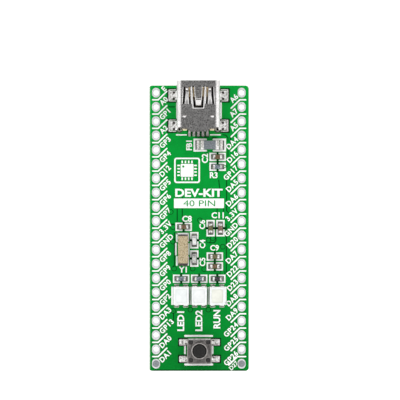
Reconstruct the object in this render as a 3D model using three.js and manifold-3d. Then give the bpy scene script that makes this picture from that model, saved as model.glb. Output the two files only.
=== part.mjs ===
// Small plug-in microcontroller board: a green circuit board in the 40-pin, 0.6 inch wide format,
// with a Mini-B USB socket at one end and a reset push button at the other.
// Millimetres. +Z points up from the component side, +Y towards the USB socket. The origin is the
// centre of the flat package face that the board lies on, below the centre of the pin pattern.
import * as THREE from "three";
import { mergeVertices } from "three/addons/utils/BufferGeometryUtils.js";
import Module from "manifold-3d";

const wasm = await Module();
wasm.setup();

// ---- Driving dimensions ----
const PITCH = 2.54;
const PINS_PER_ROW = 20;
const ROW_SPACING = 6 * PITCH;
const HOLE_RADIUS = 0.53;
const HOLE_SIDES = 12;

const BOARD = { width: 17.78, length: 50.8, thickness: 1.6, corner: 0.6 };
const PACKAGE = { side: 10, height: 1.4, standoff: 0.1, draft: 0.18, leadSpan: 12, leads: 16 };
const BOARD_BOTTOM = PACKAGE.standoff + PACKAGE.height;
const BOARD_TOP = BOARD_BOTTOM + BOARD.thickness;
const SOLDER = 0.04; // copper and solder between the board and every part on it

const USB = {
  x: -0.07,
  front: 26.15,
  rear: 16.95,
  width: 7.7,
  height: 3.95,
  wall: 0.3,
  contacts: 5,
  contactPitch: 0.8,
  contactWidth: 0.36,
  contactZ: 2.35,
  pegX: 2.2,
  pegY: 18.6,
  pegRadius: 0.42,
  blockFront: 20.3,
  footReach: 5.0,
  footLength: 1.6,
  frontFootY: 23.65,
  rearFootY: 18.25,
};

// Slots in the top of the shell, as [x at the front end, x at the back end, front y, back y, width].
// A pair is mirrored. The inner pair and the cross slot free the latch tongue; the others free a
// spring finger on each side.
const LATCH_CROSS_SLOT = [0, 0, 21.84, 21.56, 1.64];
const MIRRORED_SLOTS = [
  [0.87, 0.68, 25.3, 21.7, 0.28],
  [2.42, 2.6, 25.3, 22.05, 0.28],
  [1.57, 1.47, 25.3, 22.05, 0.26],
  [2.0, 2.0, 25.3, 25.14, 0.9],
];
const WINDOW = { x: 2.5, y: 20.05, radius: 0.38 }; // half-round windows behind the slots

const BUTTON = {
  x: 0.12,
  y: -21.8,
  width: 4.4,
  length: 4.5,
  coverTop: 1.75,
  coverSheet: 0.2,
  skirtBottom: 0.72,
  stemRadius: 1.08,
  stemTop: 2.45,
  collarRadius: 1.5,
  collarBottom: 1.2,
  nibRadius: 0.5,
  nibBottom: 0.97,
  cavityRadius: 1.65,
  postOffset: 1.5,
  postRadius: 0.4,
  domeRadius: 1.4,
  domeRise: 0.28,
  domeSheet: 0.07,
  terminalY: 1.5,
  terminalHalf: 0.36,
  terminalSheet: 0.15,
  terminalTop: 0.55,
  legSpan: 7.2,
};
const CORNERS = [[-1, -1], [1, -1], [-1, 1], [1, 1]];

const LED = { x: 0.07, y: -12.05, pitch: 3.22, count: 3, width: 2.8, length: 3.3, height: 1.9 };
const LED_RESISTOR_Y = -9.0;

const CHIP_0603 = { length: 1.6, width: 0.8, height: 0.75, cap: 0.35 };
const CHIP_RESISTOR = { length: 1.6, width: 0.8, height: 0.45, cap: 0.32 };
const CHIP_0805 = { length: 2.0, width: 1.25, height: 1.1, cap: 0.45 };
const CHIP_1206 = { length: 3.2, width: 1.6, height: 1.1, cap: 0.5 };

// ---- Shapes ----
const shapeOf = (points) => new THREE.Shape(points.map(([x, y]) => new THREE.Vector2(x, y)));

function box(x0, x1, y0, y1, z0, z1) {
  const g = new THREE.BoxGeometry(x1 - x0, y1 - y0, z1 - z0);
  return g.translate((x0 + x1) / 2, (y0 + y1) / 2, (z0 + z1) / 2);
}

// A box whose top face is smaller than its bottom face by 2 * draft each way, or larger if negative.
function drafted(width, length, z0, z1, draft) {
  const g = box(-width / 2, width / 2, -length / 2, length / 2, z0, z1);
  const p = g.attributes.position;
  for (let i = 0; i < p.count; i++) {
    if (p.getZ(i) < (z0 + z1) / 2) continue;
    p.setX(i, p.getX(i) - Math.sign(p.getX(i)) * draft);
    p.setY(i, p.getY(i) - Math.sign(p.getY(i)) * draft);
  }
  return g;
}

// An outline in the XY plane, made solid from z0 up to z1.
function slab(shape, z0, z1, curveSegments = 3) {
  const options = { depth: z1 - z0, bevelEnabled: false, curveSegments };
  return new THREE.ExtrudeGeometry(shape, options).translate(0, 0, z0);
}

// A profile of [y, z] points, made solid from x0 to x1.
function acrossX(profile, x0, x1) {
  const options = { depth: x1 - x0, bevelEnabled: false };
  const g = new THREE.ExtrudeGeometry(shapeOf(profile), options);
  return g.rotateX(Math.PI / 2).rotateZ(Math.PI / 2).translate(x0, 0, 0);
}

// A profile in the XZ plane, made solid from y0 to y1.
function alongY(shape, y0, y1, curveSegments = 3) {
  const options = { depth: y1 - y0, bevelEnabled: false, curveSegments };
  return new THREE.ExtrudeGeometry(shape, options).rotateX(Math.PI / 2).translate(0, y1, 0);
}

// A profile of [radius, z] points turned about the vertical line through x, y.
function turned(profile, x, y, sides = 16) {
  const points = profile.map(([r, z]) => new THREE.Vector2(r, z));
  return new THREE.LatheGeometry(points, sides).rotateX(Math.PI / 2).translate(x, y, 0);
}

const disc = (radius, x, y, z0, z1, sides = 16) =>
  new THREE.CylinderGeometry(radius, radius, z1 - z0, sides)
    .rotateX(Math.PI / 2)
    .translate(x, y, (z0 + z1) / 2);

function roundedRectangle(width, length, radius, x = 0, y = 0) {
  const [w, l] = [width / 2, length / 2];
  const s = new THREE.Shape();
  s.moveTo(x - w + radius, y - l);
  s.lineTo(x + w - radius, y - l);
  s.absarc(x + w - radius, y - l + radius, radius, -Math.PI / 2, 0);
  s.lineTo(x + w, y + l - radius);
  s.absarc(x + w - radius, y + l - radius, radius, 0, Math.PI / 2);
  s.lineTo(x - w + radius, y + l);
  s.absarc(x - w + radius, y + l - radius, radius, Math.PI / 2, Math.PI);
  s.lineTo(x - w, y - l + radius);
  s.absarc(x - w + radius, y - l + radius, radius, Math.PI, 1.5 * Math.PI);
  return s;
}

// ---- Joining and cutting ----
function solidOf(geometry) {
  const bare = geometry.clone();
  bare.deleteAttribute("normal");
  bare.deleteAttribute("uv");
  const merged = mergeVertices(bare, 1e-4);
  const vertProperties = new Float32Array(merged.attributes.position.array);
  const triVerts = new Uint32Array(merged.index.array);
  return new wasm.Manifold(new wasm.Mesh({ numProp: 3, vertProperties, triVerts }));
}

function geometryOf(solid) {
  const { vertProperties, triVerts } = solid.getMesh();
  const g = new THREE.BufferGeometry();
  g.setAttribute("position", new THREE.BufferAttribute(new Float32Array(vertProperties), 3));
  g.setIndex(Array.from(triVerts));
  g.computeVertexNormals();
  return g;
}

const fuse = (...parts) => geometryOf(parts.map(solidOf).reduce((a, b) => a.add(b)));
const cut = (body, ...tools) => geometryOf(tools.map(solidOf).reduce((a, b) => a.subtract(b), solidOf(body)));
const common = (a, b) => geometryOf(solidOf(a).intersect(solidOf(b)));

// ---- Materials: colour, roughness, metalness ----
const FINISH = {
  mask: ["#0d9a38", 0.35, 0],
  solder: ["#a6a8ab", 0.4, 0.9],
  steel: ["#8d8b8b", 0.4, 0.9],
  gold: ["#c79a45", 0.3, 1],
  creamPlastic: ["#e6dcc0", 0.5, 0],
  blackPlastic: ["#242322", 0.55, 0],
  whitePlastic: ["#f2f4f2", 0.4, 0],
  milkyLens: ["#eeeee4", 0.25, 0],
  ferrite: ["#717880", 0.6, 0],
  capacitor: ["#a5754c", 0.55, 0],
  greyCapacitor: ["#cfccc8", 0.5, 0],
  resistor: ["#2b2e33", 0.5, 0],
  ceramic: ["#4a4038", 0.6, 0],
  speckledLid: ["#c6b68f", 0.45, 0.3],
  quartz: ["#dfe6e6", 0.1, 0],
  moulding: ["#1d1e20", 0.6, 0],
};

function piece(name, geometry, finish) {
  const [color, roughness, metalness] = FINISH[finish];
  const mesh = new THREE.Mesh(geometry, new THREE.MeshStandardMaterial({ color, roughness, metalness }));
  mesh.name = name;
  return mesh;
}

// ---- Circuit board ----
const pinY = (i) => ((PINS_PER_ROW - 1) / 2 - i) * PITCH;

function holeAt(x, y, radius) {
  return new THREE.Path().absarc(x, y, radius, 0, 2 * Math.PI, true);
}

function circuitBoard() {
  const outline = roundedRectangle(BOARD.width, BOARD.length, BOARD.corner);
  for (const side of [-1, 1]) {
    for (let i = 0; i < PINS_PER_ROW; i++) {
      outline.holes.push(holeAt((side * ROW_SPACING) / 2, pinY(i), HOLE_RADIUS));
    }
    outline.holes.push(holeAt(USB.x + side * USB.pegX, USB.pegY, USB.pegRadius + 0.08));
  }
  return piece("circuit_board", slab(outline, BOARD_BOTTOM, BOARD_TOP, HOLE_SIDES / 2), "mask");
}

// Solder that fills a plated hole and stands a little proud of it on both faces.
function cornerSolder(name, side) {
  const [core, button, rise] = [HOLE_RADIUS * 0.9, 0.6, 0.09];
  const [low, high] = [BOARD_BOTTOM - SOLDER, BOARD_TOP + SOLDER];
  const profile = [
    [0, low - rise],
    [button * 0.7, low - rise * 0.8],
    [button, low],
    [core, low],
    [core, high],
    [button, high],
    [button * 0.7, high + rise * 0.8],
    [0, high + rise],
  ];
  return piece(name, turned(profile, (side * ROW_SPACING) / 2, pinY(PINS_PER_ROW - 1), 12), "solder");
}

// ---- USB socket, built on the board's top face at z = 0 and x = 0 ----
// The mouth's outline: round upper corners, and a lower half that steps in to the narrower side.
function mouthOutline(inset) {
  const half = USB.width / 2 - inset;
  const top = USB.height - inset;
  const corner = 0.75 - inset;
  const bottom = SOLDER + inset;
  const [hipZ, footZ, footX] = [1.9 + inset * 0.4, 1.1 + inset * 0.4, 3.05 - inset];
  const s = new THREE.Shape();
  s.moveTo(-footX + 0.4, bottom);
  s.lineTo(footX - 0.4, bottom);
  s.lineTo(footX, bottom + 0.4);
  s.lineTo(footX, footZ);
  s.lineTo(half, hipZ);
  s.lineTo(half, top - corner);
  s.absarc(half - corner, top - corner, corner, 0, Math.PI / 2);
  s.lineTo(-half + corner, top);
  s.absarc(-half + corner, top - corner, corner, Math.PI / 2, Math.PI);
  s.lineTo(-half, hipZ);
  s.lineTo(-footX, footZ);
  s.lineTo(-footX, bottom + 0.4);
  return s;
}

function topSlot([xFront, xBack, yFront, yBack, width]) {
  const h = width / 2;
  const points = [
    [xBack - h, yBack],
    [xBack + h, yBack],
    [xFront + h, yFront],
    [xFront - h, yFront],
  ];
  return slab(shapeOf(points), USB.height - 2 * USB.wall, USB.height + 1);
}

function topWindow(side) {
  const s = new THREE.Shape();
  s.absarc(side * WINDOW.x, WINDOW.y, WINDOW.radius, Math.PI, 2 * Math.PI);
  return slab(s, USB.height - 2 * USB.wall, USB.height + 1);
}

function usbShell() {
  const [front, rear, wall] = [USB.front, USB.rear, USB.wall];
  const section = mouthOutline(0);
  section.holes.push(new THREE.Path(mouthOutline(wall).getPoints(3)));
  const half = USB.width / 2 + 1;
  const rearStep = rear + 1.05;
  const plan = [
    [-half, front],
    [-half, rearStep],
    [-3.05, rearStep],
    [-1.95, rear],
    [1.95, rear],
    [3.05, rearStep],
    [half, rearStep],
    [half, front],
  ];
  const sleeve = common(alongY(section, rear, front), slab(shapeOf(plan), -1, USB.height + 1));

  // Four feet, each a leg down from the side wall and a flat sole soldered to the board.
  const feet = [];
  const [legOut, legTop] = [USB.width / 2, 2.4];
  for (const y of [USB.frontFootY, USB.rearFootY]) {
    const [y0, y1] = [y - USB.footLength / 2, y + USB.footLength / 2];
    feet.push(box(legOut - wall, legOut, y0, y1, SOLDER, legTop));
    feet.push(box(legOut - wall, USB.footReach, y0, y1, SOLDER, SOLDER + wall));
    feet.push(box(-legOut, -legOut + wall, y0, y1, SOLDER, legTop));
    feet.push(box(-USB.footReach, -legOut + wall, y0, y1, SOLDER, SOLDER + wall));
  }

  const tailGap = box(-2.3, 2.3, rear - 1, rear + 0.5, -1, 1);
  const slots = [tailGap, topSlot(LATCH_CROSS_SLOT)];
  for (const side of [-1, 1]) {
    for (const [xFront, xBack, ...rest] of MIRRORED_SLOTS) {
      slots.push(topSlot([side * xFront, side * xBack, ...rest]));
    }
    slots.push(topWindow(side));
    slots.push(disc(USB.pegRadius + 0.12, side * USB.pegX, USB.pegY, -1, 1, 12));
  }
  return piece("usb_shell", cut(fuse(sleeve, ...feet), ...slots), "steel");
}

const contactX = (i) => (i - (USB.contacts - 1) / 2) * USB.contactPitch;

// A rear block that closes the shell, with a flat tongue reaching forward under the contacts.
function usbInsulator() {
  const [blockRear, blockFront] = [USB.rear + 0.4, USB.blockFront];
  const [tongueHalf, tongueTop] = [2.1, USB.contactZ - 0.02];
  const parts = [
    alongY(mouthOutline(USB.wall + 0.06), blockRear, blockFront),
    box(-tongueHalf, tongueHalf, blockFront - 0.5, USB.front - 0.95, tongueTop - 0.8, tongueTop),
  ];
  const channels = [];
  for (let i = 0; i < USB.contacts; i++) {
    const [x, reach] = [contactX(i), USB.contactWidth / 2 + 0.05];
    channels.push(box(x - reach, x + reach, blockRear - 1, blockFront + 1, tongueTop, tongueTop + 0.22));
  }
  for (const side of [-1, 1]) {
    parts.push(disc(USB.pegRadius, side * USB.pegX, USB.pegY, -BOARD.thickness + 0.2, 1, 12));
  }
  return piece("usb_insulator", cut(fuse(...parts), ...channels), "creamPlastic");
}

// One strip: along the tongue, down behind the block, and out to its pad behind the shell.
function usbContact(i) {
  const [sheet, z, back, tail] = [0.15, USB.contactZ, USB.rear + 0.15, USB.rear - 0.75];
  const profile = [
    [USB.front - 1.15, z],
    [USB.front - 1.15, z + sheet],
    [back, z + sheet],
    [back, SOLDER + sheet],
    [tail, SOLDER + sheet],
    [tail, SOLDER],
    [back + sheet, SOLDER],
    [back + sheet, z],
  ];
  const x = contactX(i);
  const [x0, x1] = [x - USB.contactWidth / 2, x + USB.contactWidth / 2];
  return piece(`usb_contact_${i + 1}`, acrossX(profile, x0, x1), "gold");
}

function usbSocket() {
  const group = new THREE.Group();
  group.position.set(USB.x, 0, BOARD_TOP);
  group.add(usbShell(), usbInsulator());
  for (let i = 0; i < USB.contacts; i++) {
    group.add(usbContact(i));
  }
  return group;
}

// ---- Chip parts, each built along X on z = 0 and then placed ----
// A block between two end caps that stand slightly proud of it.
function chipGeometry({ length, width, height, cap }) {
  const [l, w, proud] = [length / 2, width / 2, 0.03];
  return fuse(
    box(-l + 0.1, l - 0.1, -w + proud, w - proud, SOLDER + proud, SOLDER + height - proud),
    box(-l, -l + cap, -w, w, SOLDER, SOLDER + height),
    box(l - cap, l, -w, w, SOLDER, SOLDER + height),
  );
}

function chip(name, size, finish, x, y, upright = false) {
  const mesh = piece(name, chipGeometry(size), finish);
  mesh.position.set(x, y, 0);
  mesh.rotation.z = upright ? Math.PI / 2 : 0;
  return mesh;
}

// ---- Watch crystal: an open ceramic tray, the quartz blank inside, and its lid ----
function crystal(name, x, y, width, length, height, lidFinish) {
  const [wall, floor, lid] = [0.25, 0.25, 0.15];
  const trayTop = SOLDER + height - lid;
  const tray = cut(
    box(-width / 2, width / 2, -length / 2, length / 2, SOLDER, trayTop - 0.02),
    box(-width / 2 + wall, width / 2 - wall, -length / 2 + wall, length / 2 - wall, SOLDER + floor, height),
  );
  const lidPlate = slab(roundedRectangle(width - 0.08, length - 0.08, 0.12), trayTop, trayTop + lid, 2);
  const [bw, bl] = [width / 2 - wall - 0.12, length / 2 - wall - 0.3];
  const blankFloor = SOLDER + floor + 0.02;
  const blank = box(-bw, bw, -bl, bl, blankFloor, blankFloor + 0.12);
  const group = new THREE.Group();
  group.position.set(x, y, 0);
  group.add(
    piece(`${name}_base`, tray, "ceramic"),
    piece(`${name}_lid`, lidPlate, lidFinish),
    piece(`${name}_blank`, blank, "quartz"),
  );
  return group;
}

// ---- Indicator LEDs ----
function ledParts(i) {
  const { width, length, height } = LED;
  const recess = roundedRectangle(width - 0.7, length - 0.8, 0.35);
  const floor = height - 0.75;
  const housing = cut(drafted(width, length, SOLDER, height, 0.07), slab(recess, floor, height + 1, 2));
  const tabs = [];
  for (const [sx, sy] of CORNERS) {
    const [x, y] = [sx * 0.8, (sy * length) / 2];
    tabs.push(box(x - 0.38, x + 0.38, y - 0.1, y + 0.14, SOLDER, 0.85));
  }
  const lensShape = roundedRectangle(width - 0.78, length - 0.88, 0.31);
  const group = new THREE.Group();
  group.position.set(LED.x + (i - 1) * LED.pitch, LED.y, 0);
  group.add(
    piece(`led_housing_${i + 1}`, fuse(housing, ...tabs), "whitePlastic"),
    piece(`led_lens_${i + 1}`, slab(lensShape, floor + 0.03, height - 0.06, 2), "milkyLens"),
  );
  return group;
}

// ---- Reset button, built about its own centre on z = 0 ----
function buttonBase() {
  const [hx, hy] = [BUTTON.width / 2 - 0.25, BUTTON.length / 2 - 0.1];
  const top = BUTTON.coverTop - BUTTON.coverSheet;
  const [channelFloor, half] = [BUTTON.terminalTop - 0.2, BUTTON.terminalHalf + 0.06];
  const tools = [
    disc(BUTTON.cavityRadius, 0, 0, BUTTON.terminalTop, top + 1),
    box(-0.48, 0.48, -BUTTON.terminalY, 0.4, channelFloor, top),
  ];
  for (const side of [-1, 1]) {
    const y = side * BUTTON.terminalY;
    tools.push(box(-hx - 1, hx + 1, y - half, y + half, channelFloor, BUTTON.terminalTop + 0.05));
  }
  const posts = [];
  for (const [sx, sy] of CORNERS) {
    const [x, y] = [sx * BUTTON.postOffset, sy * BUTTON.postOffset];
    posts.push(disc(BUTTON.postRadius, x, y, top - 0.4, BUTTON.coverTop - 0.03, 10));
  }
  const tub = cut(box(-hx, hx, -hy, hy, 0.1, top - 0.05), ...tools);
  return piece("button_base", fuse(tub, ...posts), "blackPlastic");
}

// A flat steel frame with a skirt down its two sides, held by the base's four posts.
function buttonCover() {
  const [hx, hy, sheet] = [BUTTON.width / 2, BUTTON.length / 2, BUTTON.coverSheet];
  const top = BUTTON.coverTop;
  const plate = slab(roundedRectangle(2 * hx, 2 * hy, 0.25), top - sheet, top, 2);
  const skirts = [-1, 1].map((s) => {
    const [a, b] = [s * hx, s * (hx - sheet)].sort((p, q) => p - q);
    return box(a, b, -hy + 0.3, hy - 0.3, BUTTON.skirtBottom, top - sheet / 2);
  });
  const holes = [disc(BUTTON.stemRadius + 0.09, 0, 0, 1, top + 1, 20)];
  for (const [sx, sy] of CORNERS) {
    const [x, y] = [sx * BUTTON.postOffset, sy * BUTTON.postOffset];
    holes.push(disc(BUTTON.postRadius + 0.05, x, y, 1, top + 1, 10));
  }
  return piece("button_cover", cut(fuse(plate, ...skirts), ...holes), "steel");
}

// A stem with a collar that the cover holds down, and a nib that presses the snap dome.
function resetButton() {
  const { stemRadius, stemTop, collarRadius, collarBottom, nibRadius, nibBottom } = BUTTON;
  const [collarTop, chamfer] = [BUTTON.coverTop - BUTTON.coverSheet - 0.05, 0.12];
  const profile = [
    [0, nibBottom],
    [nibRadius, nibBottom],
    [nibRadius, collarBottom],
    [collarRadius, collarBottom],
    [collarRadius, collarTop],
    [stemRadius, collarTop],
    [stemRadius, stemTop - chamfer],
    [stemRadius - chamfer, stemTop],
    [0, stemTop],
  ];
  return piece("reset_button", turned(profile, 0, 0, 20), "blackPlastic");
}

function buttonDome() {
  const [rim, steps] = [BUTTON.terminalTop + 0.02, 4];
  const height = (r) => rim + BUTTON.domeRise * (1 - (r / BUTTON.domeRadius) ** 2);
  const radii = Array.from({ length: steps + 1 }, (_, i) => (BUTTON.domeRadius * i) / steps);
  const under = radii.map((r) => [r, height(r)]);
  const over = radii.reverse().map((r) => [r, height(r) + BUTTON.domeSheet]);
  return piece("button_dome", turned([...under, ...over], 0, 0, 14), "steel");
}

// A strip across the base with a leg and a foot at each end. The lower one also has a tongue that
// reaches the middle, where the pressed dome closes the circuit.
function buttonTerminal(name, side, hasTongue) {
  const { terminalSheet: sheet, terminalTop: top, terminalHalf: half } = BUTTON;
  const [y, legX, out] = [side * BUTTON.terminalY, BUTTON.width / 2, BUTTON.legSpan / 2];
  const parts = [box(-legX, legX, y - half, y + half, top - sheet, top)];
  if (hasTongue) {
    parts.push(box(-0.4, 0.4, y, 0.32, top - sheet, top));
  }
  for (const s of [-1, 1]) {
    const [a, b] = [s * legX, s * (legX - sheet)].sort((p, q) => p - q);
    const [c, d] = [s * (legX - sheet), s * out].sort((p, q) => p - q);
    parts.push(box(a, b, y - half, y + half, SOLDER, top));
    parts.push(box(c, d, y - half, y + half, SOLDER, SOLDER + sheet));
  }
  return piece(name, fuse(...parts), "solder");
}

function pushButton() {
  const group = new THREE.Group();
  group.position.set(BUTTON.x, BUTTON.y, BOARD_TOP);
  group.add(
    buttonBase(),
    buttonCover(),
    resetButton(),
    buttonDome(),
    buttonTerminal("button_terminal_upper", 1, false),
    buttonTerminal("button_terminal_lower", -1, true),
  );
  return group;
}

// ---- Leaded packages on the underside ----
// A gull-wing lead that leaves a body at bodyHalf and ends at reach, as a [y, z] profile.
function gullWing(bodyHalf, reach, exitZ, sheet) {
  const foot = reach - 0.55;
  return [
    [bodyHalf - 0.2, exitZ],
    [bodyHalf + 0.2, exitZ],
    [foot, SOLDER],
    [reach, SOLDER],
    [reach, SOLDER + sheet],
    [foot + 0.1, SOLDER + sheet],
    [bodyHalf + 0.3, exitZ + sheet],
    [bodyHalf - 0.2, exitZ + sheet],
  ];
}

function microcontroller() {
  const { side, height, standoff, draft, leadSpan, leads } = PACKAGE;
  const middle = standoff + height / 2;
  const parts = [
    drafted(side, side, middle, standoff + height, draft),
    drafted(side - 2 * draft, side - 2 * draft, standoff, middle, -draft),
  ];
  const profile = gullWing(side / 2, leadSpan / 2, middle - 0.07, 0.14);
  for (let i = 0; i < leads; i++) {
    const x = (i - (leads - 1) / 2) * 0.5;
    for (let turn = 0; turn < 4; turn++) {
      parts.push(acrossX(profile, x - 0.11, x + 0.11).rotateZ((turn * Math.PI) / 2));
    }
  }
  return piece("microcontroller", fuse(...parts), "moulding");
}

function voltageRegulator(x, y) {
  const parts = [drafted(2.9, 1.6, 0.65, 1.2, 0.08), drafted(2.74, 1.44, 0.1, 0.65, -0.08)];
  const profile = gullWing(0.8, 1.4, 0.6, 0.13);
  for (const lead of [-0.95, 0, 0.95]) {
    parts.push(acrossX(profile, lead - 0.2, lead + 0.2));
  }
  for (const lead of [-0.95, 0.95]) {
    parts.push(acrossX(profile, lead - 0.2, lead + 0.2).rotateZ(Math.PI));
  }
  const mesh = piece("voltage_regulator", fuse(...parts), "moulding");
  mesh.position.set(x, y, 0);
  return mesh;
}

// ---- The two sides ----
function componentSide() {
  const group = new THREE.Group();
  group.position.z = BOARD_TOP;
  group.add(
    chip("ferrite_bead", CHIP_1206, "ferrite", 1.95, 14.8),
    chip("usb_capacitor", CHIP_0603, "capacitor", 3.35, 12.7),
    chip("usb_resistor", CHIP_RESISTOR, "resistor", 3.35, 10.95),
    chip("supply_capacitor_1", CHIP_0603, "capacitor", -2.7, 0.25),
    chip("supply_capacitor_2", CHIP_0603, "capacitor", 2.1, 0, true),
    chip("supply_capacitor_3", CHIP_0603, "capacitor", 3.85, 0, true),
    chip("crystal_capacitor_1", CHIP_0603, "greyCapacitor", -0.8, -2.15, true),
    chip("crystal_capacitor_2", CHIP_0603, "greyCapacitor", -0.8, -5.4, true),
    chip("core_capacitor_1", CHIP_0603, "capacitor", 2.85, -5.05),
    chip("core_capacitor_2", CHIP_0603, "capacitor", 2.85, -6.8),
    crystal("watch_crystal", -2.8, -3.8, 1.8, 4.9, 1.0, "speckledLid"),
  );
  for (let i = 0; i < LED.count; i++) {
    const x = LED.x + (i - 1) * LED.pitch;
    group.add(chip(`led_resistor_${i + 1}`, CHIP_RESISTOR, "resistor", x, LED_RESISTOR_Y), ledParts(i));
  }
  return group;
}

// Everything here hangs below the board, so it is built upright and turned over as one group.
// Its x runs the other way.
function underside() {
  const group = new THREE.Group();
  group.position.z = BOARD_BOTTOM;
  group.rotation.y = Math.PI;
  group.add(
    microcontroller(),
    voltageRegulator(1.6, 13.4),
    chip("regulator_capacitor_in", CHIP_0805, "capacitor", 1.6, 16.4),
    chip("regulator_capacitor_out", CHIP_0805, "capacitor", 1.6, 10.4),
    chip("power_resistor", CHIP_RESISTOR, "resistor", -2.2, 15.4),
    chip("data_resistor_1", CHIP_RESISTOR, "resistor", -2.2, 13.6),
    chip("data_resistor_2", CHIP_RESISTOR, "resistor", -2.2, 11.8),
    crystal("main_crystal", 0, -10.2, 3.2, 2.5, 0.8, "steel"),
    chip("load_capacitor_1", CHIP_0603, "greyCapacitor", -3.6, -10.2, true),
    chip("load_capacitor_2", CHIP_0603, "greyCapacitor", 3.6, -10.2, true),
    chip("reset_resistor", CHIP_RESISTOR, "resistor", -2.2, -14.2),
    chip("reset_capacitor", CHIP_0603, "capacitor", -2.2, -16.0),
    chip("boot_resistor", CHIP_RESISTOR, "resistor", 2.2, -14.2),
    chip("core_capacitor_3", CHIP_0603, "capacitor", -3.4, 8.2),
    chip("core_capacitor_4", CHIP_0603, "capacitor", 2.2, -16.0),
  );
  return group;
}

const board = new THREE.Group();
board.add(
  circuitBoard(),
  cornerSolder("corner_solder_left", -1),
  cornerSolder("corner_solder_right", 1),
  usbSocket(),
  pushButton(),
  componentSide(),
  underside(),
);
board.updateMatrixWorld(true);

export default board;
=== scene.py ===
"""The looks of a small plug-in microcontroller board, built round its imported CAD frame.

Lengths in this file are millimetres in the board's own frame. A piece becomes metres when it is done.
"""
import math

import bmesh
import bpy
from mathutils import Matrix, Vector


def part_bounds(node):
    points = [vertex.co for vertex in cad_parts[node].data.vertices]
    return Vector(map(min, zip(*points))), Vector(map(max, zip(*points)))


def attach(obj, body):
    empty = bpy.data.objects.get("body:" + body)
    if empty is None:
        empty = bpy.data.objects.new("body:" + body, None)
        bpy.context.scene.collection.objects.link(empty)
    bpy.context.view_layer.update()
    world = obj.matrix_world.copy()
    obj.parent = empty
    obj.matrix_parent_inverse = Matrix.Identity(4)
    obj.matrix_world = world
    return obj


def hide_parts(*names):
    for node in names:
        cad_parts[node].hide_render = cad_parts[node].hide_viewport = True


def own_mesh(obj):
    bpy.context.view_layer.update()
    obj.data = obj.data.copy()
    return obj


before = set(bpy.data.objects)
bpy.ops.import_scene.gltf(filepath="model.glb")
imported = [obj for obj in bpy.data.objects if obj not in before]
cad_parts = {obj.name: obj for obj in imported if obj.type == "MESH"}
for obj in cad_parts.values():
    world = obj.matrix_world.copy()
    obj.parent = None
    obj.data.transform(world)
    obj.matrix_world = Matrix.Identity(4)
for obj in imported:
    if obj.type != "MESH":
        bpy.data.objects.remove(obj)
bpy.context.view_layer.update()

MM = 0.001
IDENTITY = Matrix.Identity(4)
SIDES = (-1, 1)
scene = bpy.context.scene


# ---- The frame's own sizes ----
def span(node):
    """A CAD node's lowest and highest corners."""
    low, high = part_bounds(node)
    return low / MM, high / MM


def middle(node):
    low, high = span(node)
    return (low + high) / 2


BOARD_LOW, BOARD_HIGH = span("circuit_board")
BOTTOM, TOP = BOARD_LOW.z, BOARD_HIGH.z
PITCH = 2.54
PINS_PER_ROW = 20
ROW_X = middle("corner_solder_right").x
HOLE_RADIUS = 0.54
BARREL_RADIUS = 0.5
COPPER = 0.035  # height of a bare pad over the mask
INK = 0.018  # height of the white legend
GROOVE = 0.006  # height of the dark lines between copper areas
USB_LOW, USB_HIGH = span("usb_shell")
USB_X = (USB_LOW.x + USB_HIGH.x) / 2
USB_HALF = 3.85  # from the socket's middle to its side walls
PEG_X, PEG_Y, PEG_RADIUS = 2.2, 18.6, 0.42  # the socket's locating pegs, each side of its middle
FOOT_Y = (23.65, 18.25)  # the middles of the socket's front and rear feet
TONGUE_TOP = span("usb_contact_3")[1].z - 0.15  # the contacts' strip lies on it
BUTTON = middle("button_cover")
BUTTON_LOW, BUTTON_HIGH = span("button_cover")
POST_X, POST_Y = 1.53, 1.6  # the switch's corner posts, from its middle
STEM_RADIUS = 1.08
CAPITAL = 0.73  # the height of the built-in font's capitals as a share of its size


def pin_y(i):
    return ((PINS_PER_ROW - 1) / 2 - i) * PITCH


PIN_HOLES = [(side * ROW_X, pin_y(i)) for side in SIDES for i in range(PINS_PER_ROW)]


# ---- Shapes: each makes a closed mesh ----
def mesh_from(bm):
    bmesh.ops.recalc_face_normals(bm, faces=bm.faces)
    mesh = bpy.data.meshes.new("shape")
    bm.to_mesh(mesh)
    bm.free()
    return mesh


def block(low, high, bevel=0.03, steps=2):
    """A box with rounded edges."""
    bm = bmesh.new()
    bmesh.ops.create_cube(bm, size=2)
    centre, half = (Vector(low) + Vector(high)) / 2, (Vector(high) - Vector(low)) / 2
    for v in bm.verts:
        v.co = centre + v.co * half
    bmesh.ops.bevel(bm, geom=bm.edges[:], offset=bevel, segments=steps, profile=0.5, affect="EDGES")
    return mesh_from(bm)


def filled(curve):
    """What a flat curve encloses, its thickness included. The curve itself goes."""
    holder = bpy.data.objects.new(curve.name, curve)
    bm = bmesh.new()
    bm.from_mesh(bpy.data.meshes.new_from_object(holder))
    bpy.data.objects.remove(holder)
    bpy.data.curves.remove(curve)
    bmesh.ops.remove_doubles(bm, verts=bm.verts, dist=1e-4)
    return bm


def plate(outlines, z0, z1, bevel=0.0, steps=1):
    """A flat sheet. The first outline is its edge, and any others are holes or separate islands."""
    curve = bpy.data.curves.new("plate", "CURVE")
    curve.dimensions = "2D"
    curve.fill_mode = "BOTH"
    curve.extrude = (z1 - z0) / 2 - bevel
    curve.bevel_depth = bevel
    curve.bevel_resolution = steps
    curve.offset = -bevel
    for outline in outlines:
        spline = curve.splines.new("POLY")
        spline.points.add(len(outline) - 1)
        for point, (x, y) in zip(spline.points, outline):
            point.co = (x, y, 0, 1)
        spline.use_cyclic_u = True
    bm = filled(curve)
    bmesh.ops.translate(bm, verts=bm.verts, vec=(0, 0, (z0 + z1) / 2))
    return mesh_from(bm)


def drawn_along_y(profile, y0, y1, bevel=0.03):
    """A profile of (x, z) points, drawn out from y0 to y1."""
    mesh = plate([profile], -y1, -y0, bevel)
    mesh.transform(Matrix.Rotation(math.pi / 2, 4, "X"))
    return mesh


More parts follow.
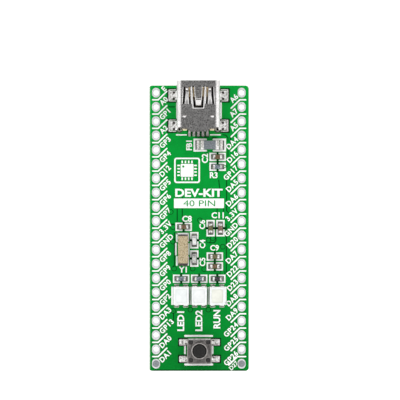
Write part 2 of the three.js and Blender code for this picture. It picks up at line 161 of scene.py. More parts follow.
def drawn_along_x(profile, half, bevel):
    """A profile of (y, z) points, drawn out this far to both sides."""
    mesh = plate([profile], -half, half, bevel)
    mesh.transform(ON_EDGE)
    return mesh


def turned(profile, steps=40):
    """A profile of (radius, z) points turned about Z. It starts and ends on the axis, or closes."""
    bm = bmesh.new()
    rings = []
    for radius, z in profile:
        count = 1 if radius < 1e-6 else steps
        angles = [2 * math.pi * k / steps for k in range(count)]
        rings.append([bm.verts.new((radius * math.cos(a), radius * math.sin(a), z)) for a in angles])
    if len(rings[0]) > 1:
        rings.append(rings[0])
    for a, b in zip(rings, rings[1:]):
        for k in range(steps):
            corners = [a[k % len(a)], a[(k + 1) % len(a)], b[(k + 1) % len(b)], b[k % len(b)]]
            corners = list(dict.fromkeys(corners))
            if len(corners) > 2:
                bm.faces.new(corners)
    return mesh_from(bm)


def lofted(outlines, ring=False):
    """Level outlines, of (x, y, z) points, joined in order. Its ends are closed, or a ring's are joined."""
    bm = bmesh.new()
    loops = [[bm.verts.new(p) for p in outline] for outline in outlines]
    for a, b in zip(loops, loops[1:] + loops[:1] * ring):
        for k in range(len(a)):
            n = (k + 1) % len(a)
            bm.faces.new((a[k], a[n], b[n], b[k]))
    if not ring:
        bm.faces.new(loops[0])
        bm.faces.new(loops[-1])
    return mesh_from(bm)


def lettering(text, height, z0, z1, bold=0.04, stretch=1.0, spacing=1.0):
    """Flat lettering centred on the origin, with capitals of this height."""
    curve = bpy.data.curves.new("lettering", "FONT")
    curve.body = text
    curve.align_x = "CENTER"
    curve.align_y = "CENTER"
    curve.resolution_u = 3
    curve.size = height / CAPITAL
    curve.space_character = spacing
    curve.offset = bold * height
    curve.extrude = (z1 - z0) / 2
    bm = filled(curve)
    xs, ys = [v.co.x for v in bm.verts], [v.co.y for v in bm.verts]
    centre = Vector(((min(xs) + max(xs)) / 2, (min(ys) + max(ys)) / 2, -(z0 + z1) / 2))
    for v in bm.verts:
        v.co = (v.co.x - centre.x) * stretch, v.co.y - centre.y, v.co.z - centre.z
    return mesh_from(bm)


# ---- Outlines: lists of (x, y) points ----
def arc(x, y, radius, start, end, steps):
    """Points on an arc, its angles in degrees."""
    angles = [math.radians(start + (end - start) * k / steps) for k in range(steps + 1)]
    return [(x + radius * math.cos(a), y + radius * math.sin(a)) for a in angles]


def circle(x, y, radius, steps=32):
    return arc(x, y, radius, 0, 360, steps)[:-1]


def rounded(x0, x1, y0, y1, radius, steps=4):
    """A rectangle with round corners."""
    r = min(radius, (x1 - x0) / 2 - 1e-4, (y1 - y0) / 2 - 1e-4)
    corners = [(x1 - r, y0 + r, -90), (x1 - r, y1 - r, 0), (x0 + r, y1 - r, 90), (x0 + r, y0 + r, 180)]
    return [p for x, y, start in corners for p in arc(x, y, r, start, start + 90, steps)]


def mitres(path):
    """At each point of a path, the step sideways to a line that runs one unit to its left."""
    normals = [(b - a).normalized().orthogonal() for a, b in zip(path, path[1:])]
    steps = []
    for before, after in zip([normals[0], *normals], [*normals, normals[-1]]):
        mitre = (before + after).normalized()
        steps.append(mitre / mitre.dot(before))
    return steps


def stroke(points, width, cap=4):
    """The outline of a line along the points, with mitred corners and round ends, or flat with no cap."""
    path = [Vector(p) for p in points]
    steps = [m * (width / 2) for m in mitres(path)]
    outline = [p + m for p, m in zip(path, steps)]
    outline += [path[-1] + Matrix.Rotation(-math.pi * k / cap, 2) @ steps[-1] for k in range(1, cap)]
    outline += [p - m for p, m in zip(path[::-1], steps[::-1])]
    outline += [path[0] - Matrix.Rotation(-math.pi * k / cap, 2) @ steps[0] for k in range(1, cap)]
    return [(p.x, p.y) for p in outline]


def moved(x=0.0, y=0.0, z=0.0, turn=0.0):
    return Matrix.Translation((x, y, z)) @ Matrix.Rotation(math.radians(turn), 4, "Z")


# Turns a shape made for the top of the board over to its underside. x runs the other way.
UNDER = Matrix.Translation((0, 0, TOP + BOTTOM)) @ Matrix.Rotation(math.pi, 4, "Y")
# Stands a flat sheet up so that its x runs along Y, its y along Z and its thickness along X.
ON_EDGE = Matrix(((0, 0, 1, 0), (1, 0, 0, 0), (0, 1, 0, 0), (0, 0, 0, 1)))
MIRROR = Matrix.Scale(-1, 4, (1, 0, 0))


class Piece:
    """Gathers shapes into one object with several materials."""

    def __init__(self, name, *materials):
        self.name = name
        self.materials = materials
        self.bm = bmesh.new()

    def add(self, mesh, material=0, places=(IDENTITY,)):
        """Adds a shape at each place, in one of the piece's materials or, with None, in its own."""
        if material is not None:
            mesh.polygons.foreach_set("material_index", [material] * len(mesh.polygons))
        for place in places:
            copy = mesh.copy()
            copy.transform(place)
            self.bm.from_mesh(copy)
            bpy.data.meshes.remove(copy)
        bpy.data.meshes.remove(mesh)
        return self

    def put(self, place):
        """Moves everything added so far."""
        bmesh.ops.transform(self.bm, matrix=place, verts=self.bm.verts)

    def done(self, slot=None, replaces=(), body="board", sharp=40):
        bmesh.ops.recalc_face_normals(self.bm, faces=self.bm.faces)
        mesh = bpy.data.meshes.new(self.name)
        self.bm.to_mesh(mesh)
        self.bm.free()
        mesh.transform(Matrix.Scale(MM, 4))
        for material in self.materials:
            mesh.materials.append(material)
        mesh.polygons.foreach_set("use_smooth", [True] * len(mesh.polygons))
        mesh.set_sharp_from_angle(angle=math.radians(sharp))
        obj = bpy.data.objects.new(self.name, mesh)
        scene.collection.objects.link(obj)
        weighted = obj.modifiers.new("flat faces stay flat", "WEIGHTED_NORMAL")
        weighted.keep_sharp = True
        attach(obj, body)
        if replaces:
            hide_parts(*replaces)
        return obj


# ---- Finishes ----
def linear(rgb):
    """A screen colour of 0 to 255 as the linear colour that a shader takes."""
    shares = [c / 255 for c in rgb]
    return [c / 12.92 if c < 0.04045 else ((c + 0.055) / 1.055) ** 2.4 for c in shares] + [1.0]


class Finish:
    """A procedural material on one Principled shader. Its coordinates are millimetres."""

    def __init__(self, name, **constants):
        self.material = bpy.data.materials.new(name)
        self.material.use_nodes = True
        self.tree = self.material.node_tree
        self.shader = self.tree.nodes["Principled BSDF"]
        self.feed(self.shader, constants)
        place = self.node("TexCoord")["Object"]
        self.place = self.node("VectorMath", {0: place, "Scale": 1 / MM}, operation="SCALE")[0]

    def feed(self, node, values):
        for key, value in values.items():
            socket = node.inputs[key if isinstance(key, int) else key.replace("_", " ")]
            if isinstance(value, bpy.types.NodeSocket):
                self.tree.links.new(value, socket)
            else:
                socket.default_value = value

    def node(self, kind, values=None, **settings):
        made = self.tree.nodes.new("ShaderNode" + kind)
        for key, value in settings.items():
            setattr(made, key, value)
        self.feed(made, values or {})
        return made.outputs

    def noise(self, size, detail=3.0, place=None):
        """Noise with spots about this many millimetres across, from about 0.3 to 0.7."""
        values = {"Vector": place or self.place, "Scale": 1 / size, "Detail": detail}
        return self.node("TexNoise", values)["Fac"]

    def range(self, value, low, high, start=0.3, end=0.7):
        """The value's stretch from start to end, as low to high."""
        values = {"Value": value, "From Min": start, "From Max": end, "To Min": low, "To Max": high}
        return self.node("MapRange", values)["Result"]

    def mix(self, share, a, b):
        values = {"Factor": share, 6: a, 7: b}
        return self.node("Mix", values, data_type="RGBA")[2]

    def ramp(self, value, *stops):
        """Colours at places along a value, as (place, colour) pairs."""
        made = self.tree.nodes.new("ShaderNodeValToRGB")
        made.color_ramp.elements.remove(made.color_ramp.elements[0])
        made.color_ramp.elements[0].position = stops[0][0]
        made.color_ramp.elements[0].color = linear(stops[0][1])
        for position, colour in stops[1:]:
            made.color_ramp.elements.new(position).color = linear(colour)
        self.feed(made, {"Fac": value})
        return made.outputs["Color"]

    def bump(self, height, depth):
        """Bumps this many millimetres deep."""
        values = {"Height": height, "Distance": depth * MM, "Strength": 1.0}
        self.feed(self.shader, {"Normal": self.node("Bump", values)["Normal"]})
        return self

    def paint(self, colour, roughness):
        self.feed(self.shader, {"Base Color": colour, "Roughness": roughness})
        return self


def simple(name, dark, light, grain, roughness, depth, detail=3.0, **constants):
    """A finish whose colour, roughness and height all follow noise of one grain."""
    f = Finish(name, **constants)
    spots = f.noise(grain, detail)
    fine = f.noise(grain / 3, 2.0)
    low, high = roughness
    f.paint(f.ramp(spots, (0.3, dark), (0.7, light)), f.range(fine, low, high))
    return f.bump(fine, depth).material


def mask_finish(name, tint):
    """Green lacquer, paler towards the socket's end, over copper and glass cloth."""
    f = Finish(name, Specular_IOR_Level=0.16, Coat_Weight=0.03, Coat_Roughness=0.1)
    along = f.node("SeparateXYZ", {"Vector": f.place})["Y"]
    drift = f.range(along, 0.0, 1.0, BOARD_LOW.y, BOARD_HIGH.y)
    shade = [[c * tint for c in rgb] for rgb in ((5, 114, 37), (6, 139, 48), (8, 158, 58))]
    base = f.ramp(drift, (0.04, shade[0]), (0.25, shade[1]), (1.0, shade[2]))
    cloud = f.range(f.noise(1.6), 0.0, 0.35)
    darker = f.mix(cloud, base, linear([c * 0.86 for c in shade[1]]))
    speck = f.range(f.noise(0.16, 4.0), 0.0, 0.25)
    f.paint(f.mix(speck, darker, linear([c * 1.1 for c in shade[2]])), f.range(cloud, 0.16, 0.26, 0.0, 0.35))
    return f.bump(f.noise(0.5), 0.004).material


def laminate_finish():
    """The cut edge of glass-fibre board: pale layers with darker resin between them."""
    f = Finish("laminate_edge", Specular_IOR_Level=0.4)
    flattened = f.node("VectorMath", {0: f.place, 1: (0.05, 0.05, 1.0)}, operation="MULTIPLY")[0]
    layers = f.noise(0.07, 3.0, flattened)
    colour = f.ramp(layers, (0.3, (98, 122, 70)), (0.5, (134, 152, 98)), (0.72, (166, 176, 128)))
    f.paint(colour, f.range(layers, 0.55, 0.8))
    return f.bump(layers, 0.02).material


def lid_finish():
    """Plated metal with a coarse straw-coloured and silver speckle."""
    f = Finish("speckled_plating", Metallic=0.25)
    grains = f.node("TexVoronoi", {"Vector": f.place, "Scale": 1 / 0.17})["Distance"]
    colour = f.ramp(grains, (0.05, (234, 217, 182)), (0.4, (203, 186, 150)), (0.75, (148, 131, 98)))
    pale = f.range(f.noise(0.35, 2.0), 0.0, 0.6, 0.45, 0.7)
    f.paint(f.mix(pale, colour, linear((210, 199, 172))), f.range(grains, 0.3, 0.55))
    return f.bump(grains, 0.01).material


def steel_finish(name, dark, light, depth, roughness):
    """Bare sheet with the mottled grain of tumbled tin plate."""
    f = Finish(name, Metallic=1.0)
    grain = f.noise(0.2, 5.0)
    cloud = f.noise(1.4, 2.0)
    blend = f.node("Math", {0: f.range(grain, 0.0, 0.75), 1: f.range(cloud, 0.0, 0.25)}, operation="ADD")[0]
    f.paint(f.ramp(blend, (0.0, dark), (1.0, light)), f.range(grain, *roughness))
    return f.bump(grain, depth).material


def mottled_finish(name, dark, middle, light):
    """Reflowed tin: patches of dull grey and bright metal side by side."""
    f = Finish(name, Metallic=0.25)
    patches = f.noise(0.34, 3.0)
    grain = f.noise(0.12, 3.0)
    f.paint(f.ramp(patches, (0.34, dark), (0.46, middle), (0.6, light)), f.range(grain, 0.28, 0.5))
    return f.bump(grain, 0.014).material


def chip_finish(name, dark, light, glint):
    """Fired ceramic: matt, faintly banded, with small paler spots painted in as glints."""
    f = Finish(name, Specular_IOR_Level=0.4)
    grain = f.noise(0.12, 4.0)
    base = f.ramp(grain, (0.3, dark), (0.65, light))
    sparkle = f.range(f.noise(0.2, 1.0), 0.0, 1.0, 0.56, 0.66)
    f.paint(f.mix(sparkle, base, linear(glint)), f.range(grain, 0.6, 0.35))
    return f.bump(grain, 0.01).material


MASK = mask_finish("green_mask", 1.0)
# Dark lines on the mask: gaps in the copper, and painted shade round mask windows and beside upright chips.
COPPER_GAP_AND_SHADE_LINES = mask_finish("mask_lines_and_painted_shade", 0.3)
# A darker copy of the mask: painted shade beside lying chips and painted shadow in front of the socket's
# pins.
PAINTED_SHADE_MASK = mask_finish("painted_shade_mask", 0.5)
# A slightly darker copy of the mask: painted shadow just below the switch.
PAINTED_SHADOW_MASK = mask_finish("painted_shadow_mask", 0.91)
EDGE = laminate_finish()
FRAYED = simple("frayed_board_edge", (214, 226, 212), (244, 248, 243), 0.2, (0.6, 0.8), 0.01)
LEGEND = simple("white_legend", (240, 241, 240), (255, 255, 255), 0.3, (0.5, 0.75), 0.006)
TINNED = simple("tinned_pads", (206, 207, 211), (236, 236, 238), 0.35, (0.28, 0.5), 0.008, Metallic=0.25)
TERMINAL = mottled_finish("matt_tin", (128, 125, 122), (222, 220, 217), (255, 255, 254))
SOLDER = steel_finish("solder", (128, 125, 124), (206, 203, 200), 0.016, (0.14, 0.3))
# A darker copy of the solder for the small chips: painted shade.
PAINTED_SHADE_SOLDER = steel_finish("painted_shade_solder", (70, 67, 65), (150, 146, 143), 0.016, (0.2, 0.36))
DULL_SOLDER = simple("dull_solder", (120, 124, 128), (144, 149, 153), 0.25, (0.5, 0.7), 0.01, Metallic=0.15)
SHELL = steel_finish("tinned_steel", (164, 162, 161), (240, 238, 237), 0.016, (0.24, 0.38))
COVER = steel_finish("brushed_steel", (122, 118, 116), (186, 181, 178), 0.016, (0.28, 0.42))
# Pale steel for the strips by the socket's springs, its window tabs and the switch lid's upper edge: painted
# highlight.
PAINTED_HIGHLIGHT_STEEL = steel_finish("painted_highlight_steel", (206, 204, 204), (255, 254, 253), 0.016, (0.3, 0.45))
# Near-white finish for the finger dimples: painted highlight.
GLINT = simple("painted_glint_tip", (236, 236, 235), (255, 255, 254), 0.3, (0.4, 0.55), 0.004)
PIN = simple("pin_tin", (118, 116, 114), (204, 201, 198), 0.2, (0.3, 0.5), 0.01, Metallic=0.3)
# A darker copy of the gold for the contacts under the slots: painted shade.
PAINTED_SHADE_GOLD = simple("painted_shade_gold", (96, 70, 38), (128, 96, 56), 0.3, (0.3, 0.5), 0.004, Metallic=0.3)
# Dark steel for the shell's inside faces and the crease across the latch: painted shade.
SHADED = simple("painted_shade_inner_steel", (40, 38, 37), (66, 63, 61), 0.4, (0.4, 0.6), 0.01, Metallic=0.6)
# Pale, barely metallic gold, so that the contacts read lit inside the socket: painted light.
GOLD = simple("gold_plating", (250, 208, 140), (255, 238, 196), 0.3, (0.25, 0.4), 0.004, Metallic=0.1)
CREAM = simple("cream_nylon", (222, 208, 172), (240, 230, 202), 0.5, (0.4, 0.55), 0.006)
BLACK = simple("black_nylon", (24, 22, 22), (50, 47, 47), 0.3, (0.42, 0.62), 0.014)
STEM = simple("black_stem", (17, 16, 16), (36, 35, 34), 0.14, (0.5, 0.7), 0.02, 5.0, Specular_IOR_Level=0.3)
# Dark brown spots of painted shade: inside and round the socket's rear curls, on its feet and on the switch's
# feet.
PAINTED_SHADE_SPOTS = simple("painted_shade_spots", (22, 16, 14), (52, 40, 34), 0.1, (0.3, 0.5), 0.01)
MOULDING = simple("black_epoxy", (24, 24, 26), (46, 46, 49), 0.12, (0.5, 0.72), 0.012, 5.0)
HOUSING = simple("white_nylon", (234, 236, 236), (246, 248, 248), 0.5, (0.38, 0.5), 0.004)
QUARTZ = simple("quartz", (206, 216, 216), (236, 242, 242), 0.4, (0.05, 0.15), 0.002, Transmission_Weight=0.6)
RESINS = [((228, 233, 232), (240, 244, 243)), ((230, 232, 232), (242, 243, 243)),
          ((224, 225, 214), (237, 238, 228))]
LENSES = [simple(f"milky_resin_{k}", *shades, 0.9, (0.3, 0.42), 0.004, Specular_IOR_Level=0.2)
          for k, shades in enumerate(RESINS, 1)]
FERRITE = chip_finish("grey_ferrite", (94, 101, 108), (126, 133, 139), (152, 158, 162))
BROWN = chip_finish("brown_ceramic", (78, 62, 46), (108, 85, 63), (134, 114, 92))
OLIVE = chip_finish("olive_ceramic", (76, 74, 48), (104, 101, 70), (126, 122, 94))
ROSE = chip_finish("rose_ceramic", (96, 74, 64), (128, 102, 88), (150, 130, 116))
PALE = chip_finish("pale_ceramic", (190, 191, 190), (228, 229, 228), (244, 244, 244))
GREY = chip_finish("grey_ceramic", (160, 160, 156), (196, 197, 193), (226, 226, 224))
RESISTOR = chip_finish("resistor_glass", (56, 62, 68), (122, 134, 142), (176, 192, 204))
DARK_RESISTOR = chip_finish("dark_resistor_glass", (24, 24, 26), (60, 60, 62), (112, 113, 116))
CERAMIC = chip_finish("crystal_ceramic", (44, 37, 38), (78, 68, 69), (112, 100, 108))
LID = lid_finish()


# ---- The bare board ----
def bare_board():
    """The laminate with its pin holes and the socket's peg holes: lacquered faces and bare cut edges."""
    outline = rounded(BOARD_LOW.x, BOARD_HIGH.x, BOARD_LOW.y, BOARD_HIGH.y, 0.6, 6)
    holes = [circle(x, y, HOLE_RADIUS) for x, y in PIN_HOLES]
    holes += [circle(USB_X + side * PEG_X, PEG_Y, PEG_RADIUS + 0.1) for side in SIDES]
    shape = plate([outline, *holes], BOTTOM, TOP, 0.02)
    piece = Piece("laminate_board", MASK, EDGE).add(shape)
    for face in piece.bm.faces:
        face.material_index = 0 if abs(face.normal.z) > 0.5 else 1
    piece.done("solder_mask", ["circuit_board"])


def pin_pads():
    """Oblong tinned pads round the pin holes on both faces, and the plating inside each hole."""
    holes = [moved(x, y) for x, y in PIN_HOLES]
    ring = [rounded(-0.71, 0.71, -0.87, 0.87, 0.69, 8), circle(0, 0, BARREL_RADIUS + 0.02)]
    inner, outer, over = BARREL_RADIUS, HOLE_RADIUS - 0.005, COPPER * 0.5
    barrel = [(inner, BOTTOM - over), (inner, TOP + over), (outer, TOP + over), (outer, BOTTOM - over)]
    piece = Piece("pin_pads", TINNED)
    piece.add(plate(ring, TOP, TOP + COPPER, 0.015), 0, [*holes, *[UNDER @ hole for hole in holes]])
    piece.add(turned(barrel, 32), 0, holes)
    piece.done("tinned_solder")


def corner_solder():
    """The two bottom holes, filled flush with a low button of dull solder on each face."""
    low, high = span("corner_solder_left")
    radius = (high.x - low.x) / 2
    rim = TOP + COPPER
    quarter = arc(0, 0, 1, 75, 0, 5)
    dome = [(0.0, high.z), *[(radius * r, rim + (high.z - rim) * z) for r, z in quarter]]
    turn_over = [(r, TOP + BOTTOM - z) for r, z in reversed(dome)]
    core = BARREL_RADIUS - 0.01
    profile = [*dome, (core, TOP), (core, BOTTOM), *turn_over]
    spots = [moved(side * ROW_X, pin_y(PINS_PER_ROW - 1)) for side in SIDES]
    piece = Piece("corner_solder", DULL_SOLDER).add(turned(profile), 0, spots)
    piece.done("tinned_solder", ["corner_solder_left", "corner_solder_right"])


# ---- Solder and chips ----
def level(outline, z):
    return [(x, y, z) for x, y in outline]


def mound(outer, inner, z0, height, steps=5):
    """Solder that climbs, hollow-sided, from a pad's outline to a part's. Both are (x0, x1, y0, y1)."""
    loops = [level(rounded(*outer, 0.12, 3), TOP - 0.005)]
    for k in range(steps + 1):
        share = k / steps
        edges = [a + (b - a) * share for a, b in zip(outer, inner)]
        loops.append(level(rounded(*edges, 0.12 * (1 - share) + 0.03, 3), z0 + height * share**2.2))
    return lofted(loops)


def stands_upright(node):
    low, high = span(node)
    return high.y - low.y > high.x - low.x


def as_x_and_y(node, along, across):
    """Sizes along and across a part as sizes in x and y."""
    return (across, along) if stands_upright(node) else (along, across)


def chip_place(node):
    """Where a part made along X on the board's top, at the origin, has to go to stand for a node."""
    centre = middle(node)
    turn = 90 if stands_upright(node) else 0
    if centre.z > TOP:
        return moved(centre.x, centre.y, 0, turn)
    return UNDER @ moved(-centre.x, centre.y, 0, turn)


SMALL = (2.26, 0.98)
# kind: (ceramic, its slot, length of an end cap, length and width over the pads)
CHIP_KINDS = {
    "bead": (FERRITE, "grey_ferrite", 0.55, (5.1, 1.72)),
    "brown": (BROWN, "brown_ceramic", 0.38, SMALL),
    "large": (BROWN, "brown_ceramic", 0.45, (3.0, 1.5)),
    "olive": (OLIVE, "brown_ceramic", 0.38, SMALL),
    "rose": (ROSE, "brown_ceramic", 0.38, SMALL),
    "pale": (PALE, "grey_ceramic", 0.36, SMALL),
    "grey": (GREY, "grey_ceramic", 0.36, SMALL),
    "glass": (RESISTOR, "black_resistor", 0.34, SMALL),
    "dark": (DARK_RESISTOR, "black_resistor", 0.34, SMALL),
}
CHIPS = {
    "ferrite_bead": "bead", "usb_capacitor": "brown", "usb_resistor": "glass",
    "supply_capacitor_1": "brown", "supply_capacitor_2": "olive", "supply_capacitor_3": "rose",
    "crystal_capacitor_1": "pale", "crystal_capacitor_2": "grey", "core_capacitor_1": "olive",
    "core_capacitor_2": "brown", "led_resistor_1": "glass", "led_resistor_2": "glass",
    "led_resistor_3": "dark", "regulator_capacitor_in": "large", "regulator_capacitor_out": "large",
    "power_resistor": "glass", "data_resistor_1": "glass", "data_resistor_2": "glass",
    "load_capacitor_1": "grey", "load_capacitor_2": "grey", "reset_resistor": "glass",
    "reset_capacitor": "brown", "boot_resistor": "dark", "core_capacitor_3": "brown",
    "core_capacitor_4": "olive",
}


def chip(node, ceramic, slot, cap, pads):
    """A ceramic block between two tinned end caps, with solder climbing from each pad.

    The two pale ones beside the watch crystal show their fired ends bare.
    """
    low, high = span(node)
    half, side = as_x_and_y(node, *((high - low) / 2).xy)
    floor = TOP + COPPER
    roof = TOP + (high.z - TOP if low.z > TOP else BOTTOM - low.z)
    small = side < 0.5
    # Small chips take the darker solder: painted shade.
    piece = Piece(node + "_part", ceramic, TERMINAL, PAINTED_SHADE_SOLDER if small else SOLDER)
    inset, trim = 0.03, 0.07 if small else 0.0
    piece.add(block((-half + 0.1, -side + inset, floor), (half - 0.1, side - inset, roof - inset), 0.04))
    if slot == "black_resistor":
        glazed = half - cap + 0.02
        piece.add(block((-glazed, -side + 0.06, roof - inset - 0.02), (glazed, side - 0.06, roof), 0.03))
    end_cap = block((half - cap, -side + trim, floor), (half, side - trim, roof), 0.07, 3)
    reach, spread = pads[0] / 2, pads[1] / 2
    outer = (half - cap - 0.02, reach, -spread, spread)
    inner = (half - cap, half + 0.01, -side + trim - 0.01, side - trim + 0.01)
    ends = [IDENTITY, moved(turn=180)]
    if slot == "grey_ceramic" and low.z > TOP:
        piece.add(end_cap, 0, [*ends, moved(-0.28), moved(-0.1)])
    else:
        piece.add(end_cap, 1, ends)
    piece.add(mound(outer, inner, TOP + COPPER, (roof - floor) * 0.62), 2, ends)
    piece.put(chip_place(node))
    piece.done(slot, [node])


# ---- Crystals ----
def crystal(name, lid, lid_slot, ends):
    """A ceramic tray with a metal lid. The ends are how far a dark mound, in the tray's ceramic, stands past
    it at each end.
    """
    low, high = span(name + "_base")
    place = chip_place(name + "_base")
    x, y = as_x_and_y(name + "_base", *((high - low) / 2).xy)
    lid_low, lid_high = span(name + "_lid")
    tray_roof, roof = high.z, lid_high.z
    if low.z < BOTTOM:
        tray_roof, roof = TOP + BOTTOM - low.z, TOP + BOTTOM - lid_low.z
    base = Piece(name + "_tray", CERAMIC)
    rim = [rounded(-x, x, -y, y, 0.12), rounded(-x + 0.25, x - 0.25, -y + 0.25, y - 0.25, 0.1)]
    base.add(block((-x, -y, TOP + COPPER), (x, y, TOP + 0.29), 0.03))
    base.add(plate(rim, TOP + 0.28, tray_roof, 0.02))
    for side, reach in zip(SIDES, ends):
        outer = sorted((side * (x - 0.5), side * (x + reach)))
        inner = sorted((side * (x - 0.5), side * (x + 0.01)))
        spread = y - 0.06
        base.add(mound((*outer, -spread, spread), (*inner, -spread, spread), TOP + COPPER, 0.42), 0)
    base.put(place)
    base.done("crystal_ceramic", [name + "_base"])
    cover = Piece(name + "_cover", lid)
    edge = rounded(-x + 0.02, x - 0.02, -y + 0.02, y - 0.02, 0.14, 5)
    cover.add(plate([edge], tray_roof + 0.02, roof, 0.05, 2))
    cover.put(place)
    cover.done(lid_slot, [name + "_lid"])
    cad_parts[name + "_blank"].data.materials[0] = QUARTZ


# ---- LEDs ----
def led(k):
    """A white drafted housing with a lens flush in its well, and four soldered tabs."""
    low, high = span(f"led_housing_{k}")
    lens_low, lens_high = span(f"led_lens_{k}")
    x, y, _ = (low + high) / 2
    half_x, half_y = (high.x - low.x) / 2, (high.y - low.y) / 2 - 0.14
    draft, roof = 0.07, high.z
    x0, x1, y0, y1 = lens_low.x - x, lens_high.x - x, lens_low.y - y, lens_high.y - y
    # The wall is lofted up its outside, over its rim and down into the well. Each level is a step
    # inwards or outwards, a height and a corner radius.
    outside = [(0.0, TOP + 0.06, 0.1), (draft * 0.45, roof - 0.75, 0.1), (draft, roof - 0.06, 0.12),
               (draft + 0.03, roof - 0.02, 0.13), (draft + 0.08, roof, 0.15)]
    well = [(0.042, roof, 0.34), (0.012, roof - 0.04, 0.32), (-0.068, roof - 0.72, 0.28)]
    loops = [level(rounded(-half_x + i, half_x - i, -half_y + i, half_y - i, r), z) for i, z, r in outside]
    loops += [level(rounded(x0 - grow, x1 + grow, y0 - grow, y1 + grow, r), z) for grow, z, r in well]
    housing = Piece(f"led_{k}_housing", HOUSING, TERMINAL, SOLDER).add(lofted(loops))
    tabs = [moved(sx * 0.8, sy * half_y, 0, 0 if sy > 0 else 180) for sx in SIDES for sy in SIDES]
    housing.add(block((-0.38, -0.1, TOP + COPPER), (0.38, 0.13, TOP + 0.85), 0.05), 1, tabs)
    housing.add(mound((-0.46, 0.46, -0.3, 0.44), (-0.38, 0.38, -0.3, 0.14), TOP + COPPER, 0.5), 2, tabs)
    housing.put(moved(x, y))
    housing.done("white_plastic", [f"led_housing_{k}"])
    crown = [(0.0, lens_low.z), (0.0, lens_high.z - 0.06), (0.02, lens_high.z - 0.03),
             (0.1, lens_high.z - 0.012), (0.3, lens_high.z)]
    layers = [level(rounded(x0 + i, x1 - i, y0 + i, y1 - i, 0.3, 6), z) for i, z in crown]
    lens = Piece(f"led_{k}_lens", LENSES[k - 1]).add(lofted(layers), 0, [moved(x, y)])
    lens.done("milky_lens", [f"led_lens_{k}"])


# ---- USB socket ----
def sheet_path(corners):
    """A path through (x, z, bend radius) corners with its bends rounded, from the first to the last."""
    path = [Vector(corners[0][:2])]
    for before, corner, after in zip(corners, corners[1:], corners[2:]):
        point = Vector(corner[:2])
        back = (Vector(before[:2]) - point).normalized()
        on = (Vector(after[:2]) - point).normalized()
        opening = math.acos(max(-1.0, min(1.0, back.dot(on))))
        reach = corner[2] / math.tan(opening / 2)
        centre = point + (back + on).normalized() * (corner[2] / math.sin(opening / 2))
        first = (point + back * reach - centre).normalized()
        last = (point + on * reach - centre).normalized()
        bends = max(2, round((math.pi - opening) / math.radians(11)))
        for k in range(bends + 1):
            path.append(centre + first.slerp(last, k / bends) * corner[2])
    path.append(Vector(corners[-1][:2]))
    return path


def scored(mesh, planes):
    """Adds edges where (point, normal) planes cross a flat sheet, so that it can bend there."""
    bm = bmesh.new()
    bm.from_mesh(mesh)
    for point, normal in planes:
        everything = bm.verts[:] + bm.edges[:] + bm.faces[:]
        bmesh.ops.bisect_plane(bm, geom=everything, plane_co=point, plane_no=normal, dist=1e-5)
    bpy.data.meshes.remove(mesh)
    return mesh_from(bm)


def bend_sheet(mesh, corners):
    """Wraps a flat sheet round a path that starts at x = 0 and is mirrored. Its z stays the depth."""
    path = sheet_path(corners)
    steps = mitres(path)
    runs = [(b - a).length for a, b in zip(path, path[1:])]
    places = [sum(runs[:k]) for k in range(len(path))]
    mesh = scored(mesh, [((side * x, 0, 0), (1, 0, 0)) for x in places[1:-1] for side in SIDES])
    for v in mesh.vertices:
        along = abs(v.co.x)
        k = max(i for i in range(len(runs)) if places[i] <= along + 1e-6)
        share = (along - places[k]) / runs[k]
        point = path[k].lerp(path[k + 1], share) + steps[k].lerp(steps[k + 1], share) * v.co.z
        v.co = Vector((math.copysign(point.x, v.co.x), v.co.y, point.y))
    return mesh


def between(points, y):
    """The x of a line of (x, y) points at this y."""
    (xa, ya), (xb, yb) = points
    return xa + (xb - xa) * (y - ya) / (yb - ya)


def step_down(y, stops):
    """The depth at y on a path of (y, depth) stops that runs towards smaller y."""
    for (ya, a), (yb, b) in zip(stops, stops[1:]):
        if ya >= y >= yb:
            return a + (b - a) * (ya - y) / (ya - yb)
    return stops[0][1] if y > stops[0][0] else stops[-1][1]


LATCH_SLOT = ((0.94, 25.1), (0.71, 21.47))
OUTER_SLOT = ((2.46, 25.02), (2.62, 21.98))
INNER_SLOT = ((1.58, 25.02), (1.48, 21.98))
SLOT_WIDTH = 0.32
LIP = 0.16  # how far the rolled edge of a slot reaches
WINDOW_X, WINDOW_Y, WINDOW_RADIUS = 2.48, 20.03, 0.42
FINGER_END, TAB_END = 24.2, 24.3  # the two sides of the cut across a finger's free end
LATCH_DEPTHS = [(22.98, 0.0), (22.9, 0.06), (22.78, 0.06), (22.7, 0.1), (21.6, 0.62)]
FINGER_DEPTHS = [(24.2, 0.45), (23.4, 0.27), (22.7, 0.1), (21.98, 0.0)]


def press_springs(mesh):
    """Bends the latch tongue down at its free back end and each side finger at its free front end."""
    for v in mesh.vertices:
        x, y = abs(v.co.x), v.co.y
        if LATCH_SLOT[1][1] < y < LATCH_SLOT[0][1] and x < between(LATCH_SLOT, y):
            v.co.z -= step_down(y, LATCH_DEPTHS)
        elif OUTER_SLOT[1][1] < y < FINGER_END + 0.01 and between(INNER_SLOT, y) < x < between(OUTER_SLOT, y):
            v.co.z -= step_down(y, FINGER_DEPTHS)


def latch_cut(reach):
    """The outline of the slot round the latch tongue, drawn out by this much except at its ends."""
    path = [*LATCH_SLOT, *[(-x, y) for x, y in reversed(LATCH_SLOT)]]
    return stroke([Vector(p) for p in path], SLOT_WIDTH + 2 * reach, 0)


